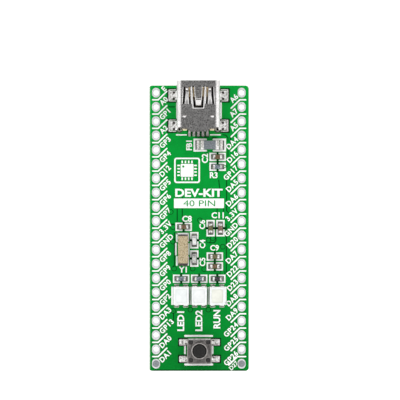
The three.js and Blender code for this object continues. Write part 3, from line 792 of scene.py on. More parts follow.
def finger_cut(side, reach):
    """The outline of the two slots and the cut round one side finger, drawn out like the latch's."""
    (outer_top, top), (outer_low, low) = OUTER_SLOT
    (inner_top, _), (inner_low, _) = INNER_SLOT
    half = SLOT_WIDTH / 2 + reach
    cut, edge = FINGER_END - reach, TAB_END
    outline = [
        (outer_top + half, top), (outer_low + half, low), (outer_low - half, low),
        (between(OUTER_SLOT, FINGER_END) - half, cut), (between(INNER_SLOT, FINGER_END) + half, cut),
        (inner_low + half, low), (inner_low - half, low), (inner_top - half, top), (inner_top + half, top),
        (between(INNER_SLOT, edge) + half, edge), (between(OUTER_SLOT, edge) - half, edge),
        (outer_top - half, top),
    ]
    return [(side * x, y) for x, y in outline]


def rolled_lip(outline, wall):
    """The rounded-down edge of the sheet round a slot, whose outline is drawn for a reach."""
    edge = ((LIP, 0.0), (0.09, -0.035), (0.0, -0.14), (0.0, -wall), (LIP - 0.02, -wall))
    return lofted([level(outline(reach), z) for reach, z in edge], ring=True)


def together(*meshes):
    bm = bmesh.new()
    for mesh in meshes:
        bm.from_mesh(mesh)
        bpy.data.meshes.remove(mesh)
    return mesh_from(bm)


def scoop():
    """A half-round tab that closes a window, pressed down along its straight edge."""
    r = WINDOW_RADIUS + 0.03
    tab = plate([arc(0, 0, r, 180, 360, 12)], -0.16, -0.02, 0.03)
    for v in tab.vertices:
        v.co.z -= 0.62 * (v.co.y + r)
    return tab


def shell_slot(face):
    """The shell's material for a face of its flat sheet: dark inside, as painted shade; pale round the
    springs, as painted highlight, but darker in front of each finger's free end, as painted shade; or plain.
    """
    x, y = abs(face.center.x), face.center.y
    # Inside faces get the dark steel: painted shade.
    if face.normal.z < -0.5:
        return 4
    by_finger = LATCH_SLOT[0][0] < x < OUTER_SLOT[1][0] and OUTER_SLOT[1][1] < y < OUTER_SLOT[0][1]
    if face.normal.z <= 0 or not by_finger:
        return 0
    # Painted highlight on the strip by the latch and on each finger; painted shade, in the darker cover
    # steel, on the strip in front of each finger's free end.
    return 5 if x < between(INNER_SLOT, y) or y < FINGER_END + 0.01 else 6


def usb_shell():
    """The folded shell: a sheet that is cut flat, pressed and bent, and then gets its feet and details."""
    wall, roof = 0.3, USB_HIGH.z - TOP
    corners = [(0.0, roof, 0.0), (USB_HALF, roof, 1.0), (USB_HALF, 1.9, 0.4), (3.05, 1.1, 0.4),
               (3.05, 0.04, 0.42), (0.0, 0.04, 0.0)]
    path = sheet_path(corners)
    reach = sum((b - a).length for a, b in zip(path, path[1:])) - 0.03
    step, rear = 17.62, 17.12
    edge = [*arc(1.35, rear + 0.3, 0.3, -90, -20, 4), (1.82, 17.46), (2.1, step - 0.04), (2.9, step),
            (3.15, 17.9), (reach - 2.3, 17.9), (reach - 2.3, 17.45), (reach, 17.45), (reach, USB_HIGH.y)]
    outline = [*edge, *[(-x, y) for x, y in reversed(edge)]]
    cuts = (latch_cut, lambda reach: finger_cut(1, reach), lambda reach: finger_cut(-1, reach))
    slots = [cut(LIP - 0.03) for cut in cuts]
    windows = [arc(side * WINDOW_X, WINDOW_Y, WINDOW_RADIUS, 180, 360, 10) for side in SIDES]
    sheet = plate([outline, *slots, *windows], -wall, -0.003)
    sheet = together(sheet, *[rolled_lip(cut, wall) for cut in cuts])
    for face in sheet.polygons:
        face.material_index = shell_slot(face)
    sheet = scored(sheet, [((0, y, 0), (0, 1, 0)) for y, _ in LATCH_DEPTHS + FINGER_DEPTHS])
    press_springs(sheet)
    body = bend_sheet(sheet, corners)
    body.transform(moved(USB_X, 0, TOP))
    piece = Piece("usb_socket_shell", SHELL, SOLDER, PAINTED_SHADE_SPOTS, TERMINAL, SHADED, PAINTED_HIGHLIGHT_STEEL, COVER, GLINT)
    piece.add(body, None)
    for side in SIDES:
        for y in FOOT_Y:
            foot(piece, side, y)
        # The window tabs in the pale steel: painted highlight.
        piece.add(scoop(), 5, [moved(USB_X + side * WINDOW_X, WINDOW_Y, TOP + roof)])
        curl = [(0.2, 0.05), (0.2, 1.7), (0.24, 1.78), (0.33, 1.8), (0.4, 1.72), (0.42, 1.6), (0.42, 0.05)]
        spot = moved(USB_X + side * 3.38, 17.58, TOP)
        piece.add(turned(curl, 28), 0, [spot])
        # A dark core inside the curl and a dark ring round its foot: painted shade.
        piece.add(turned([(0, 0.06), (0.3, 0.06), (0.3, 1.1), (0, 1.12)], 20), 2, [spot])
        piece.add(turned([(0, 0.06), (0.52, 0.06), (0.62, -0.01), (0, -0.01)], 24), 2, [spot])
        # A near-white dimple on each finger: painted highlight.
        dimple = turned([(0, -0.001), (0.12, 0.0), (0.17, -0.002), (0.19, -0.02), (0, -0.02)], 20)
        piece.add(dimple, 7, [moved(USB_X + side * 2.04, 24.58, TOP + roof)])
    # A dark bar across the latch's crease: painted shade.
    crease = block((-0.42, 22.72, roof - 0.2), (0.42, 22.79, roof - 0.055), 0.01)
    piece.add(crease, 4, [moved(USB_X, 0, TOP)])
    piece.done("shell_steel", ["usb_shell"], sharp=36)


def foot(piece, side, y):
    """A leg from the side wall down to a flat sole, soldered to its pad, with two dark spots of painted shade
    on the sole where it leaves the wall.
    """
    half, sole_end = 0.8, 5.0
    place = moved(USB_X, y) @ (IDENTITY if side > 0 else MIRROR)
    profile = [(3.86, 2.3), (3.56, 2.3), (3.56, 0.2), (3.7, 0.06), (sole_end, 0.06), (sole_end, 0.32),
               (4.02, 0.32), (3.86, 0.5)]
    piece.add(drawn_along_y(profile, -half, half, 0.05), 3, [place @ moved(z=TOP)])
    outer, inner = (3.95, 5.42, -half - 0.33, half + 0.3), (3.95, sole_end + 0.02, -half - 0.02, half + 0.02)
    piece.add(mound(outer, inner, TOP + COPPER, 0.26), 1, [place])
    # Two dark spots on the sole by the wall: painted shade.
    drop = turned([(0, -0.01), (0.19, -0.01), (0.22, 0.004), (0.18, 0.016), (0, 0.014)], 20)
    piece.add(drop, 2, [place @ moved(4.36, dy, TOP + 0.32) for dy in (-0.6, 0.5)])


def usb_insulator():
    """The cream block that closes the shell's back, its tongue, black as painted shade inside the mouth, and
    its two pegs.
    """
    low, high = span("usb_insulator")
    wall, block_front = 0.4, 20.3
    half, roof = USB_HALF - wall, USB_HIGH.z - wall
    outline = [
        (-2.4, TOP + 0.45), (2.4, TOP + 0.45), (2.65, TOP + 0.7), (2.65, TOP + 1.3), (half, TOP + 2.1),
        *arc(half - 0.5, roof - 0.5, 0.5, 0, 90, 4), *arc(-half + 0.5, roof - 0.5, 0.5, 90, 180, 4),
        (-half, TOP + 2.1), (-2.65, TOP + 1.3), (-2.65, TOP + 0.7),
    ]
    piece = Piece("usb_socket_insulator", CREAM, BLACK)
    piece.add(drawn_along_y(outline, low.y + 0.75, block_front, 0.08), 0, [moved(USB_X)])
    face = TONGUE_TOP - 0.02
    # The tongue is black though the block is cream: painted shade inside the socket's mouth.
    piece.add(block((-2.1, block_front - 0.5, face - 0.8), (2.1, high.y, face), 0.08), 1, [moved(USB_X)])
    tip, shoulder = BOTTOM + 0.2, BOTTOM + 0.35
    peg = turned([(0, tip), (0.3, tip), (PEG_RADIUS, shoulder), (PEG_RADIUS, TOP + 1), (0, TOP + 1)], 24)
    piece.add(peg, 0, [moved(USB_X + side * PEG_X, PEG_Y) for side in SIDES])
    for side in SIDES:
        corner = block((-0.4, -0.3, 0), (0.4, 0.6, 2.2), 0.12, 3)
        piece.add(corner, 0, [moved(USB_X + side * 2.42, 17.66, TOP + COPPER)])
    piece.done("cream_plastic", ["usb_insulator"])


def usb_contacts():
    """The five contacts: pale gilt along the tongue, as painted light; darker gold under the slots, as
    painted shade; and tinned at their tails.
    """
    piece = Piece("usb_socket_contacts", GOLD, PIN, SOLDER, PAINTED_SHADE_GOLD)
    low, high = span("usb_contact_1")
    inside = span("usb_insulator")[0].y + 0.3
    upper, tail, nose, bend = TONGUE_TOP + 0.14, low.y + 0.18, high.y, 23.3
    profile = [
        (nose, TONGUE_TOP), (nose - 0.05, upper), (bend, upper), (22.95, upper), (22.7, TONGUE_TOP - 0.06),
        (inside, TONGUE_TOP - 0.06), (tail + 1.0, TONGUE_TOP), (tail + 0.72, TOP + 0.3),
        (tail + 0.5, TOP + 0.19), (tail, TOP + 0.19), (tail, TOP + 0.05), (tail + 0.6, TOP + 0.05),
        (tail + 0.86, TOP + 0.24), (tail + 1.12, TONGUE_TOP - 0.14), (inside, TONGUE_TOP - 0.2),
        (22.65, TONGUE_TOP - 0.2), (22.9, TONGUE_TOP),
    ]
    places = [moved(middle(f"usb_contact_{k}").x) for k in range(1, 6)]
    piece.add(drawn_along_x(profile, (high.x - low.x) / 2, 0.025), 0, places)
    outer, inner = (-0.25, 0.25, tail - 0.06, tail + 0.75), (-0.19, 0.19, tail - 0.01, tail + 0.5)
    piece.add(mound(outer, inner, TOP + COPPER, 0.1), 2, places)
    for face in piece.bm.faces:
        y = face.calc_center_median().y
        # Contact faces behind the bend take the darker gold as painted shade, and the tails are tinned.
        if face.material_index == 0 and y < bend:
            face.material_index = 1 if y < tail + 2.0 else 3
    piece.done("gold_contact", [f"usb_contact_{k}" for k in range(1, 6)])


# ---- Push button ----
def switch_cover():
    """A folded steel lid with a lipped hole for the stem and one for each corner post, and a pale strip of
    painted highlight along its upper edge.
    """
    half_x, half_y = (BUTTON_HIGH.x - BUTTON_LOW.x) / 2, (BUTTON_HIGH.y - BUTTON_LOW.y) / 2
    top, spot = BUTTON_HIGH.z, moved(BUTTON.x, BUTTON.y)
    piece = Piece("switch_cover", COVER, PAINTED_HIGHLIGHT_STEEL)
    holes = [circle(0, 0, STEM_RADIUS + 0.11, 40)]
    holes += [rounded(x - 0.42, x + 0.42, y - 0.42, y + 0.42, 0.33, 5)
              for x in (-POST_X, POST_X) for y in (-POST_Y, POST_Y)]
    rim_x = half_x - 0.13
    sheet = plate([rounded(-rim_x, rim_x, -half_y, half_y, 0.2, 5), *holes], top - 0.2, top - 0.004, 0.03)
    piece.add(sheet, 0, [spot])
    skirt = block((half_x - 0.24, -half_y + 0.1, TOP + 0.72), (half_x, half_y - 0.1, top + 0.01), 0.115, 4)
    piece.add(skirt, 0, [spot, spot @ MIRROR])
    inner, outer = STEM_RADIUS + 0.1, STEM_RADIUS + 0.35
    lip = [(inner, top - 0.12), (inner + 0.04, top + 0.02), (inner + 0.12, top + 0.06),
           (outer - 0.08, top + 0.045), (outer, top - 0.01), (outer, top - 0.1)]
    piece.add(turned(lip, 48), 0, [spot])
    # A pale strip along the lid's upper edge: painted highlight.
    painted_highlight_strip = block((-rim_x + 0.1, half_y - 0.26, top - 0.15), (rim_x - 0.1, half_y, top), 0.05)
    piece.add(painted_highlight_strip, 1, [spot])
    piece.done("shell_steel", ["button_cover"])


def switch_base():
    """The black base, the guide round the stem, and the four posts that hold the lid."""
    x, y = (BUTTON_HIGH.x - BUTTON_LOW.x) / 2 - 0.24, (BUTTON_HIGH.y - BUTTON_LOW.y) / 2 - 0.1
    top, spot = BUTTON_HIGH.z, moved(BUTTON.x, BUTTON.y)
    piece = Piece("switch_base", BLACK)
    piece.add(block((-x, -y, TOP + 0.1), (x, y, TOP + 0.36), 0.03), 0, [spot])
    guide = [rounded(-x, x, -y, y, 0.15), circle(0, 0, 1.65, 40)]
    piece.add(plate(guide, TOP + 0.61, top - 0.25, 0.03), 0, [spot])
    post = plate([rounded(-0.39, 0.39, -0.39, 0.39, 0.3, 5)], top - 0.6, top - 0.03, 0.08, 2)
    piece.add(post, 0, [spot @ moved(sx * POST_X, sy * POST_Y) for sx in SIDES for sy in SIDES])
    piece.done("black_plastic", ["button_base"])


def switch_stem():
    """The round button: a foot that pushes the dome, a flange under the guide, and a domed tip."""
    low, high = (corner.z for corner in span("reset_button"))
    collar = BUTTON_HIGH.z - 0.25
    profile = [
        (0, low), (0.42, low), (0.5, low + 0.05), (0.5, low + 0.23), (1.5, low + 0.23), (1.5, collar),
        (STEM_RADIUS, collar), (STEM_RADIUS, high - 0.16), (STEM_RADIUS - 0.05, high - 0.06),
        (STEM_RADIUS - 0.14, high - 0.01), (STEM_RADIUS - 0.26, high), (0.5, high - 0.02), (0, high - 0.03),
    ]
    piece = Piece("switch_stem", STEM).add(turned(profile, 48), 0, [moved(BUTTON.x, BUTTON.y)])
    piece.done("black_plastic", ["reset_button"], body="plunger")


def switch_dome():
    """The snap dome under the stem."""
    low, high = span("button_dome")
    radius, sheet = 1.4, 0.07
    rise = high.z - low.z - sheet
    under = [(radius * k / 8, low.z + rise * (1 - (k / 8) ** 2)) for k in range(9)]
    over = [(r, z + sheet) for r, z in reversed(under)]
    piece = Piece("switch_dome", SHELL).add(turned(under + over, 32), 0, [moved(BUTTON.x, BUTTON.y)])
    dome = piece.done("shell_steel", ["button_dome"])
    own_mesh(dome)


def switch_terminals():
    """Two strips across the base, each with a leg and a forked foot at both ends, and a link between."""
    piece = Piece("switch_terminals", TERMINAL, SOLDER, PAINTED_SHADE_SPOTS)
    names = ("button_terminal_upper", "button_terminal_lower")
    low, high = span(names[0])
    half, reach, leg, top = (high.y - low.y) / 2, (high.x - low.x) / 2, 2.2, high.z
    profile = [(leg, top - TOP), (leg - 0.15, top - TOP), (leg - 0.15, 0.1), (leg - 0.1, 0.05),
               (reach, 0.05), (reach, 0.2), (leg + 0.12, 0.2), (leg, 0.32)]
    fork = [(reach - 0.45, -half), (reach - 0.02, -half - 0.14), (reach - 0.2, 0.0),
            (reach - 0.02, half + 0.14), (reach - 0.45, half)]
    outer, inner = (leg + 0.02, reach + 0.06, -0.6, 0.6), (leg + 0.02, reach - 0.15, -half, half)
    for name in names:
        low, high = span(name)
        cy = (low.y + half) if name.endswith("lower") else (high.y - half)
        strip = moved(BUTTON.x, cy)
        piece.add(block((-leg + 0.1, -half, top - 0.15), (leg - 0.1, half, top), 0.03), 0, [strip])
        for side in (1, -1):
            place = strip @ (IDENTITY if side > 0 else MIRROR)
            piece.add(drawn_along_y(profile, -half, half), 0, [place @ moved(z=TOP)])
            piece.add(plate([fork], TOP + 0.05, TOP + 0.22, 0.03), 0, [place])
            piece.add(mound(outer, inner, TOP + COPPER, 0.14), 1, [place])
            # A dark spot on each foot near the leg: painted shade in a notch.
            spot = turned([(0, 0.0), (0.1, 0.0), (0.13, 0.012), (0.08, 0.02), (0, 0.02)], 16)
            piece.add(spot, 2, [place @ moved(leg + 0.22, 0.3 * side, TOP + 0.19)])
    link = block((-0.4, -1.5, top - 0.15), (0.4, 0.32, top - 0.01), 0.03)
    piece.add(link, 0, [moved(BUTTON.x, BUTTON.y)])
    piece.done("tinned_solder", names)


# ---- Leaded packages on the underside ----
def gull_wing(half, reach, exit_z, sheet):
    """A lead's profile, of (out, z) points, from inside the body down to its pad."""
    foot_start = reach - 0.55
    upper = exit_z + sheet
    return [
        (half - 0.2, exit_z), (half + 0.14, exit_z), (half + 0.22, exit_z - 0.05), (foot_start - 0.06, 0.08),
        (foot_start + 0.04, 0.04), (reach, 0.04), (reach, 0.04 + sheet), (foot_start + 0.1, 0.04 + sheet),
        (foot_start + 0.02, 0.08 + sheet), (half + 0.32, upper - 0.05), (half + 0.22, upper),
        (half - 0.2, upper),
    ]


def moulded(width, length, z0, middle_z, z1, draft, bevel=0.05):
    """A moulded body that narrows both ways from its parting line."""
    levels = [(draft + bevel, z0), (draft, z0 + bevel), (0.0, middle_z), (draft, z1 - bevel),
              (draft + bevel, z1)]
    x, y = width / 2, length / 2
    return lofted([level(rounded(-x + i, x - i, -y + i, y - i, 0.12), z) for i, z in levels])


def leads(piece, profile, width, places, pad):
    """Copies of one lead, each on its own soldered pad."""
    piece.add(drawn_along_x(profile, width / 2, 0.02), 1, [place @ moved(z=TOP) for place in places])
    piece.add(plate([rounded(*pad, 0.05, 2)], TOP, TOP + COPPER, 0.01), 1, places)


def microcontroller():
    """The flat pack, with sixteen leads along each side. Its pin-1 dot lies just under its face."""
    low, high = span("microcontroller")
    side, reach = 10.0, (high.x - low.x) / 2
    roof = TOP + BOTTOM - low.z
    piece = Piece("microcontroller_package", MOULDING, SOLDER, LEGEND)
    piece.add(moulded(side, side, TOP + 0.1, TOP + 0.8, roof, 0.18))
    mark = turned([(0, -0.002), (0.42, -0.002), (0.5, 0), (0.42, -0.02), (0, -0.02)], 28)
    piece.add(mark, 2, [moved(-3.9, 3.9, roof)])
    profile = gull_wing(side / 2, reach, 0.73, 0.14)
    places = [moved(turn=90 * turn) @ moved((i - 7.5) * 0.5) for i in range(16) for turn in range(4)]
    leads(piece, profile, 0.22, places, (-0.15, 0.15, reach - 0.75, reach + 0.25))
    piece.put(UNDER)
    piece.done("black_moulding", ["microcontroller"])


def regulator():
    """A small moulded package with three leads on one side and two on the other."""
    low, high = span("voltage_regulator")
    centre = (low + high) / 2
    piece = Piece("voltage_regulator_package", MOULDING, SOLDER)
    piece.add(moulded(2.9, 1.6, TOP + 0.1, TOP + 0.65, TOP + BOTTOM - low.z, 0.08, 0.04))
    reach = (high.y - low.y) / 2
    profile = gull_wing(0.8, reach, 0.6, 0.13)
    places = [moved(x) for x in (-0.95, 0, 0.95)]
    places += [moved(turn=180) @ moved(x) for x in (-0.95, 0.95)]
    leads(piece, profile, 0.4, places, (-0.3, 0.3, reach - 0.7, reach + 0.2))
    piece.put(UNDER @ moved(-centre.x, centre.y))
    piece.done("black_moulding", ["voltage_regulator"])


# ---- White legend ----
LINE = 0.26
LEFT_LABELS = "E A0 GP1 A2 GP3 GP4 D12 GP5 GP6 GP7 3.3V GND GP8 GP9 GP0 GP2 DA3 GP13 DA0 DA1".split()
RIGHT_LABELS = "A6 A7 A5 DA4 D16 GP17 DA5 DA6 3.3V GND D20 DA7 D22 D23 DA8 DA9 GP24 GP25 GP26 D27".split()


def box_with_gaps(x0, x1, y0, y1, gap):
    """Two brackets round a part, with a gap in the middle of each long side."""
    if x1 - x0 > y1 - y0:
        m = (x0 + x1) / 2
        yield [(m - gap / 2, y0), (x0, y0), (x0, y1), (m - gap / 2, y1)]
        yield [(m + gap / 2, y0), (x1, y0), (x1, y1), (m + gap / 2, y1)]
    else:
        m = (y0 + y1) / 2
        yield [(x0, m - gap / 2), (x0, y0), (x1, y0), (x1, m - gap / 2)]
        yield [(x0, m + gap / 2), (x0, y1), (x1, y1), (x1, m + gap / 2)]


def part_box(node, along, across, gap=0.55):
    """Brackets round a chip, reaching this far from its middle each way."""
    c = middle(node)
    x, y = as_x_and_y(node, along, across)
    return list(box_with_gaps(c.x - x, c.x + x, c.y - y, c.y + y, gap))


def top_strokes():
    """Every line of the legend on the component side, as (points, width)."""
    lines = []
    for i in range(PINS_PER_ROW - 1):
        m = pin_y(i) - PITCH / 2
        last = 0.42 if i == PINS_PER_ROW - 2 else 0.0
        lines.append(([(-8.2, m), (-7.24, m), (-5.7, m + 1.5)], LINE))
        lines.append(([(8.32, m), (7.3 - last, m), (5.76 - last, m - 1.5)], LINE))
    lines += [(points, 0.32) for points in part_box("ferrite_bead", 2.74, 1.0, 1.3)]
    boxes = []
    for node in CHIPS:
        if middle(node).z > TOP and node != "ferrite_bead":
            boxes += part_box(node, 1.33, 0.61, 0.62)
    lines += [(points, LINE) for points in boxes]
    for side in SIDES:
        beside_usb = 0.03 + side * 3.9
        lines.append(([(USB_X + side * 2.15, 16.62), (USB_X + side * 3.9, 16.62)], 0.22))
        lines.append(([(beside_usb, 22.3), (beside_usb, 19.6)], 0.3))
        beside_button = BUTTON.x - 0.12 + side * 2.46
        lines.append(([(beside_button, BUTTON.y + 0.75), (beside_button, BUTTON.y - 0.5)], 0.3))
        across = BUTTON.y + 0.08 + side * 2.54
        lines.append(([(BUTTON.x - 2.55, across), (BUTTON.x + 2.25, across)], 0.36))
    tray = middle("watch_crystal_base")
    for inner, outer, width in ((-1.12, -1.28, 0.3), (0.95, 1.03, 0.2)):
        inner, outer = tray.x + inner, tray.x + outer
        lines.append(([(inner, tray.y + 2.83), (inner, tray.y + 1.45)], width))
        lines.append(([(outer, tray.y + 1.05), (outer, tray.y - 0.92)], width))
        lines.append(([(inner, tray.y - 1.28), (inner, tray.y - 2.78)], width))
    lines.append(([(tray.x - 1.15, tray.y + 2.83), (tray.x + 0.95, tray.y + 2.83)], 0.27))
    led_y = middle("led_housing_2").y
    for x, width in ((-4.75, 0.3), (-1.54, 0.18), (1.68, 0.16), (4.78, 0.3)):
        lines.append(([(x, led_y + 1.5), (x, led_y - 1.5)], width))
    return lines


# text, x, y, height of capitals, turn, boldness, stretch
TOP_LABELS = [
    ("FB1", -1.73, 14.74, 1.0, 90, 0.04, 0.95),
    ("C2", 1.09, 12.44, 1.08, 90, 0.04, 0.95),
    ("R3", 2.65, 9.44, 1.05, 0, 0.04, 0.95),
    ("C8", -2.1, 1.67, 1.05, 0, 0.04, 1.0),
    ("C6", 0.6, 0.65, 1.0, 90, 0.04, 1.0),
    ("C11", 3.35, 2.3, 1.05, 0, 0.04, 1.0),
    ("C4", 0.65, -2.8, 1.0, 90, 0.04, 0.95),
    ("C5", 0.65, -6.0, 1.0, 90, 0.04, 0.95),
    ("C9", 2.8, -3.5, 1.0, 0, 0.04, 0.95),
    ("Y1", -2.85, -7.38, 1.05, 0, 0.04, 1.0),
    ("LED1", -3.22, -16.55, 1.2, 90, 0.045, 1.05),
    ("LED2", 0.0, -16.45, 1.2, 90, 0.045, 1.03),
    ("RUN", 3.22, -16.2, 1.2, 90, 0.045, 1.0),
    ("DEV-KIT", 0.02, 6.3, 1.4, 0, 0.05, 1.2),
]


def chip_symbol(piece, x, y, z0, z1):
    """A plain picture of a square chip with pins on all four sides, in a rounded frame."""
    outer, inner = 2.3, 2.03
    frame_line = [rounded(-outer, outer, -outer + 0.04, outer - 0.04, 0.45, 5),
                  rounded(-inner, inner, -inner + 0.04, inner - 0.04, 0.22, 5)]
    piece.add(plate(frame_line, z0, z1), 0, [moved(x, y)])
    body = [rounded(-1.15, 1.15, -1.15, 1.15, 0.15), circle(-0.68, 0.68, 0.2, 20)]
    piece.add(plate(body, z0, z1), 0, [moved(x, y)])
    pins = [moved(x, y, 0, 90 * turn) @ moved(1.5, (i - 1.5) * 0.58) for turn in range(4) for i in range(4)]
    piece.add(plate([rounded(-0.24, 0.24, -0.13, 0.13, 0.08)], z0, z1), 0, pins)


def legend_top():
    """The white print on the component side: lines, pin names, part numbers, a symbol and two titles."""
    z0, z1 = TOP - 0.002, TOP + INK
    piece = Piece("legend_top", LEGEND, MASK)
    for points, width in top_strokes():
        piece.add(plate([stroke(points, width)], z0, z1))
    for i, (left, right) in enumerate(zip(LEFT_LABELS, RIGHT_LABELS)):
        first, last = i == 0, i == PINS_PER_ROW - 1
        beside = [(left, -6.42 if first else -6.8, pin_y(i) + 0.5, 1)]
        if not last:
            beside.append((right, 6.78, pin_y(i) - 0.48, -1))
        for text, x, y, end in beside:
            letters = lettering(text, 0.93, z0, z1, 0.042, 0.98, 0.94 + 0.05 * len(text))
            diagonal = end * max(v.co.x for v in letters.vertices) * math.sqrt(0.5)
            piece.add(letters, 0, [moved(x + diagonal, y + diagonal, 0, 45)])
    piece.add(lettering(RIGHT_LABELS[-1], 0.76, z0, z1, 0.025), 0, [moved(6.2, -24.46, 0, 45)])
    for text, x, y, height, turn, bold, stretch in TOP_LABELS:
        piece.add(lettering(text, height, z0, z1, bold, stretch), 0, [moved(x, y, 0, turn)])
    piece.add(plate([rounded(-4.42, 4.48, 3.58, 5.28, 0.03)], z0, z1))
    piece.add(lettering("40 PIN", 1.12, z1 - 0.002, z1 + 0.004, 0.0, 1.35), 1, [moved(0.08, 4.43)])
    chip_symbol(piece, -2.09, 10.3, z0, z1)
    piece.done()


def legend_bottom():
    """The white print on the underside: pin names, brackets round the chips and corners round the pack."""
    z0, z1 = TOP - 0.002, TOP + INK
    piece = Piece("legend_bottom", LEGEND)
    for i, (left, right) in enumerate(zip(LEFT_LABELS, RIGHT_LABELS)):
        for text, x, end in ((right, -6.6, 1), (left, 6.6, -1)):
            letters = lettering(text, 0.8, z0, z1, 0.03, 0.95)
            reach = end * max(v.co.x for v in letters.vertices)
            if abs(pin_y(i)) > 7.4:
                piece.add(letters, 0, [moved(x + reach, pin_y(i))])
    for node in CHIPS:
        if middle(node).z < BOTTOM and node != "core_capacitor_3":  # that one has a pin's name beside it
            c = middle(node)
            wide = node.startswith("regulator")
            x, y = as_x_and_y(node, 1.72, 0.95) if wide else as_x_and_y(node, 1.38, 0.66)
            for points in box_with_gaps(-c.x - x, -c.x + x, c.y - y, c.y + y, 0.42):
                piece.add(plate([stroke(points, 0.2)], z0, z1))
    for turn in range(4):
        corner = [(6.35, 5.2), (6.35, 6.35), (5.2, 6.35)] if turn else [(6.35, 5.2), (5.9, 5.9), (5.2, 6.35)]
        if turn != 2:
            piece.add(plate([stroke(corner, 0.2)], z0, z1), 0, [moved(turn=90 * (turn + 1))])
    piece.put(UNDER)
    piece.done()


# ---- Lines between copper areas, vias, and painted shade on the mask ----
TOP_LINES = [
    [(-3.85, 5.8), (-3.85, 1.15)],
    [(-2.95, 5.8), (-2.95, 1.2)],
    [(3.55, 8.6), (3.62, 7.9), (3.75, 7.0), (3.75, 5.4)],
    [(4.95, 8.6), (4.95, 3.1), (5.3, 2.75)],
    [(3.25, 3.5), (3.25, 2.9)],
    [(4.42, 3.5), (4.42, 2.9)],
    [(4.9, 0.7), (4.9, -7.9)],
    [(-4.35, -0.8), (-4.35, -6.6), (-4.6, -6.9)],
    [(-1.35, -0.85), (-1.35, -1.6), (-1.6, -1.9)],
    [(1.9, -2.6), (2.7, -2.6), (3.05, -2.2), (3.05, -1.6)],
    [(-5.1, 0.75), (-4.4, 0.75)],
    [(5.6, 16.4), (5.6, 15.2), (5.2, 14.8), (5.2, 12.0)],
    [(-5.4, 21.6), (-4.3, 21.6)],
    [(-4.9, -14.4), (-4.5, -14.9), (-4.5, -16.6)],
    [(2.35, 16.1), (3.2, 16.1)],
    [(-8.1, -25.27), (8.1, -25.27)],
    [(4.3, 16.66), (4.8, 16.55), (5.2, 16.1), (5.2, 15.4)],
]
VIAS = [(-1.1, -7.2), (0.95, -7.3), (-4.4, -7.2), (4.25, -3.3), (-4.6, -2.4), (2.5, -1.75), (1.7, -2.15),
        (0.2, 1.4), (-4.55, -14.75), (-1.5, -14.5), (1.7, -14.5), (4.2, -7.95), (-4.6, 0.2), (-5.0, 2.9),
        (4.6, 11.0)]


def openings():
    """The (x0, x1, y0, y1) of the larger windows in the mask, each of which gets a dark ring of painted
    shade.
    """
    for side in SIDES:
        for y in FOOT_Y:
            x = USB_X + side * 4.72
            yield x - 0.7, x + 0.7, y - 1.13, y + 1.1
        for y in (BUTTON.y + 1.5, BUTTON.y - 1.5):
            x = BUTTON.x + side * 2.93
            yield x - 0.73, x + 0.73, y - 0.58, y + 0.62


def copper_lines():
    """Thin dark lines where the copper under the mask is cut away, and tented vias with their rings. The dark
    strips beside the chips, the darker patches by the socket's pins and below the switch, and the dark rings
    round the mask windows are painted shade.
    """
    z0, z1 = TOP - 0.002, TOP + GROOVE
    piece = Piece("copper_lines_top", COPPER_GAP_AND_SHADE_LINES, MASK, PAINTED_SHADE_MASK, PAINTED_SHADOW_MASK, FRAYED)
    for points in TOP_LINES:
        piece.add(plate([stroke(points, 0.15)], z0, z1))
    # Across each chip's middle, a dark strip that reaches past its sides: painted shade, darker for chips
    # that stand upright.
    for node in CHIPS:
        c = middle(node)
        if c.z > TOP and node != "ferrite_bead":
            x, y = as_x_and_y(node, 0.17, 0.95)
            slot = 0 if stands_upright(node) else 2
            piece.add(plate([rounded(c.x - x, c.x + x, c.y - y, c.y + y, 0.05)], z0, z1), slot)
    # Darker mask in front of the socket's pins: painted shadow.
    piece.add(plate([rounded(USB_X - 1.95, USB_X + 1.95, 16.35, 17.6, 0.1)], z0, z1), 2)
    piece.add(plate([rounded(USB_X - 0.6, USB_X + 1.95, 16.12, 16.32, 0.08)], z0, z1), 2)
    # Painted shadow on the mask just below the switch.
    piece.add(plate([rounded(-3.3, 4.0, -25.15, -24.4, 0.35)], z0, z1), 3)
    piece.add(plate([rounded(-8.88, -8.7, -25.1, 25.1, 0.05)], z0, z1), 4)
    # Dark rings round the mask windows: painted shade.
    for x0, x1, y0, y1 in openings():
        ring = [rounded(x0 - 0.17, x1 + 0.17, y0 - 0.17, y1 + 0.17, 0.1), rounded(x0, x1, y0, y1, 0.05)]
        piece.add(plate(ring, z0, z1))
    ring = plate([circle(0, 0, 0.48, 28), circle(0, 0, 0.38, 28)], z0, z1)
    piece.add(ring, 0, [moved(x, y) for x, y in VIAS])
    tent = turned([(0, 0.002), (0.1, 0.004), (0.18, 0.03), (0.24, 0.03), (0.33, -0.002), (0, -0.002)], 24)
    piece.add(tent, 1, [moved(x, y, TOP) for x, y in VIAS])
    piece.done("solder_mask")


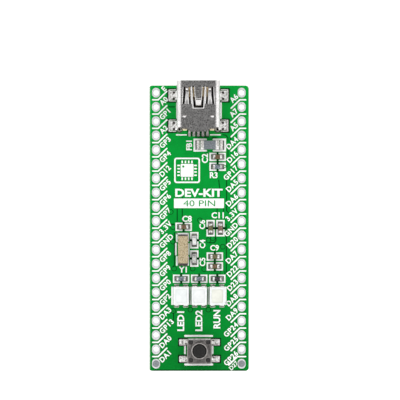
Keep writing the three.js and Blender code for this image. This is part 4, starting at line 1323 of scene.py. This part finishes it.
# ---- Stage ----
def stage():
    """A sheet of glowing white paper under the board."""
    bm = bmesh.new()
    bmesh.ops.create_grid(bm, x_segments=1, y_segments=1, size=3.0)
    mesh = bpy.data.meshes.new("floor")
    bm.to_mesh(mesh)
    bm.free()
    floor = bpy.data.objects.new("floor", mesh)
    scene.collection.objects.link(floor)
    paper = Finish("white_paper", Specular_IOR_Level=0.1)
    cloud = paper.range(paper.noise(40.0), 0.0, 1.0)
    paper.paint(paper.mix(cloud, linear((150, 150, 150)), linear((156, 156, 156))), 0.9)
    paper.feed(paper.shader, {"Emission Color": (1, 1, 1, 1), "Emission Strength": 0.86})
    mesh.materials.append(paper.material)


def studio_light():
    """Bright softboxes all round, and a dimmer patch overhead, where the camera looks through."""
    world = bpy.data.worlds.new("studio")
    scene.world = world
    world.use_nodes = True
    tree = world.node_tree
    direction = tree.nodes.new("ShaderNodeTexCoord").outputs["Generated"]
    split = tree.nodes.new("ShaderNodeSeparateXYZ")
    tree.links.new(direction, split.inputs[0])
    fade = tree.nodes.new("ShaderNodeMapRange")
    fade.interpolation_type = "SMOOTHSTEP"
    for socket, value in (("From Min", 0.72), ("From Max", 0.94), ("To Min", 1.62), ("To Max", 0.12)):
        fade.inputs[socket].default_value = value
    tree.links.new(split.outputs["Z"], fade.inputs["Value"])
    background = tree.nodes["Background"]
    tree.links.new(fade.outputs["Result"], background.inputs["Strength"])
    background.inputs["Color"].default_value = (1, 1, 1, 1)


def camera():
    """Straight above the board with a long lens, the board a little below the picture's middle."""
    lens, sensor = 240.0, 36.0
    field = 71.22  # width of the view at the board's top face
    data = bpy.data.cameras.new("camera")
    data.lens = lens
    data.sensor_width = sensor
    data.clip_end = 10.0
    obj = bpy.data.objects.new("camera", data)
    obj.location = Vector((0.21, 5.02, TOP + field * lens / sensor)) * MM
    scene.collection.objects.link(obj)
    scene.camera = obj
    scene.view_settings.view_transform = "Standard"


camera()
studio_light()
stage()
bare_board()
pin_pads()
corner_solder()
copper_lines()
legend_top()
legend_bottom()
for node, kind in CHIPS.items():
    chip(node, *CHIP_KINDS[kind])
crystal("watch_crystal", LID, "speckled_lid", (0.44, 0.24))
crystal("main_crystal", SHELL, "shell_steel", (0.2, 0.2))
for k in (1, 2, 3):
    led(k)
usb_shell()
usb_insulator()
usb_contacts()
switch_cover()
switch_base()
switch_stem()
switch_dome()
switch_terminals()
microcontroller()
regulator()
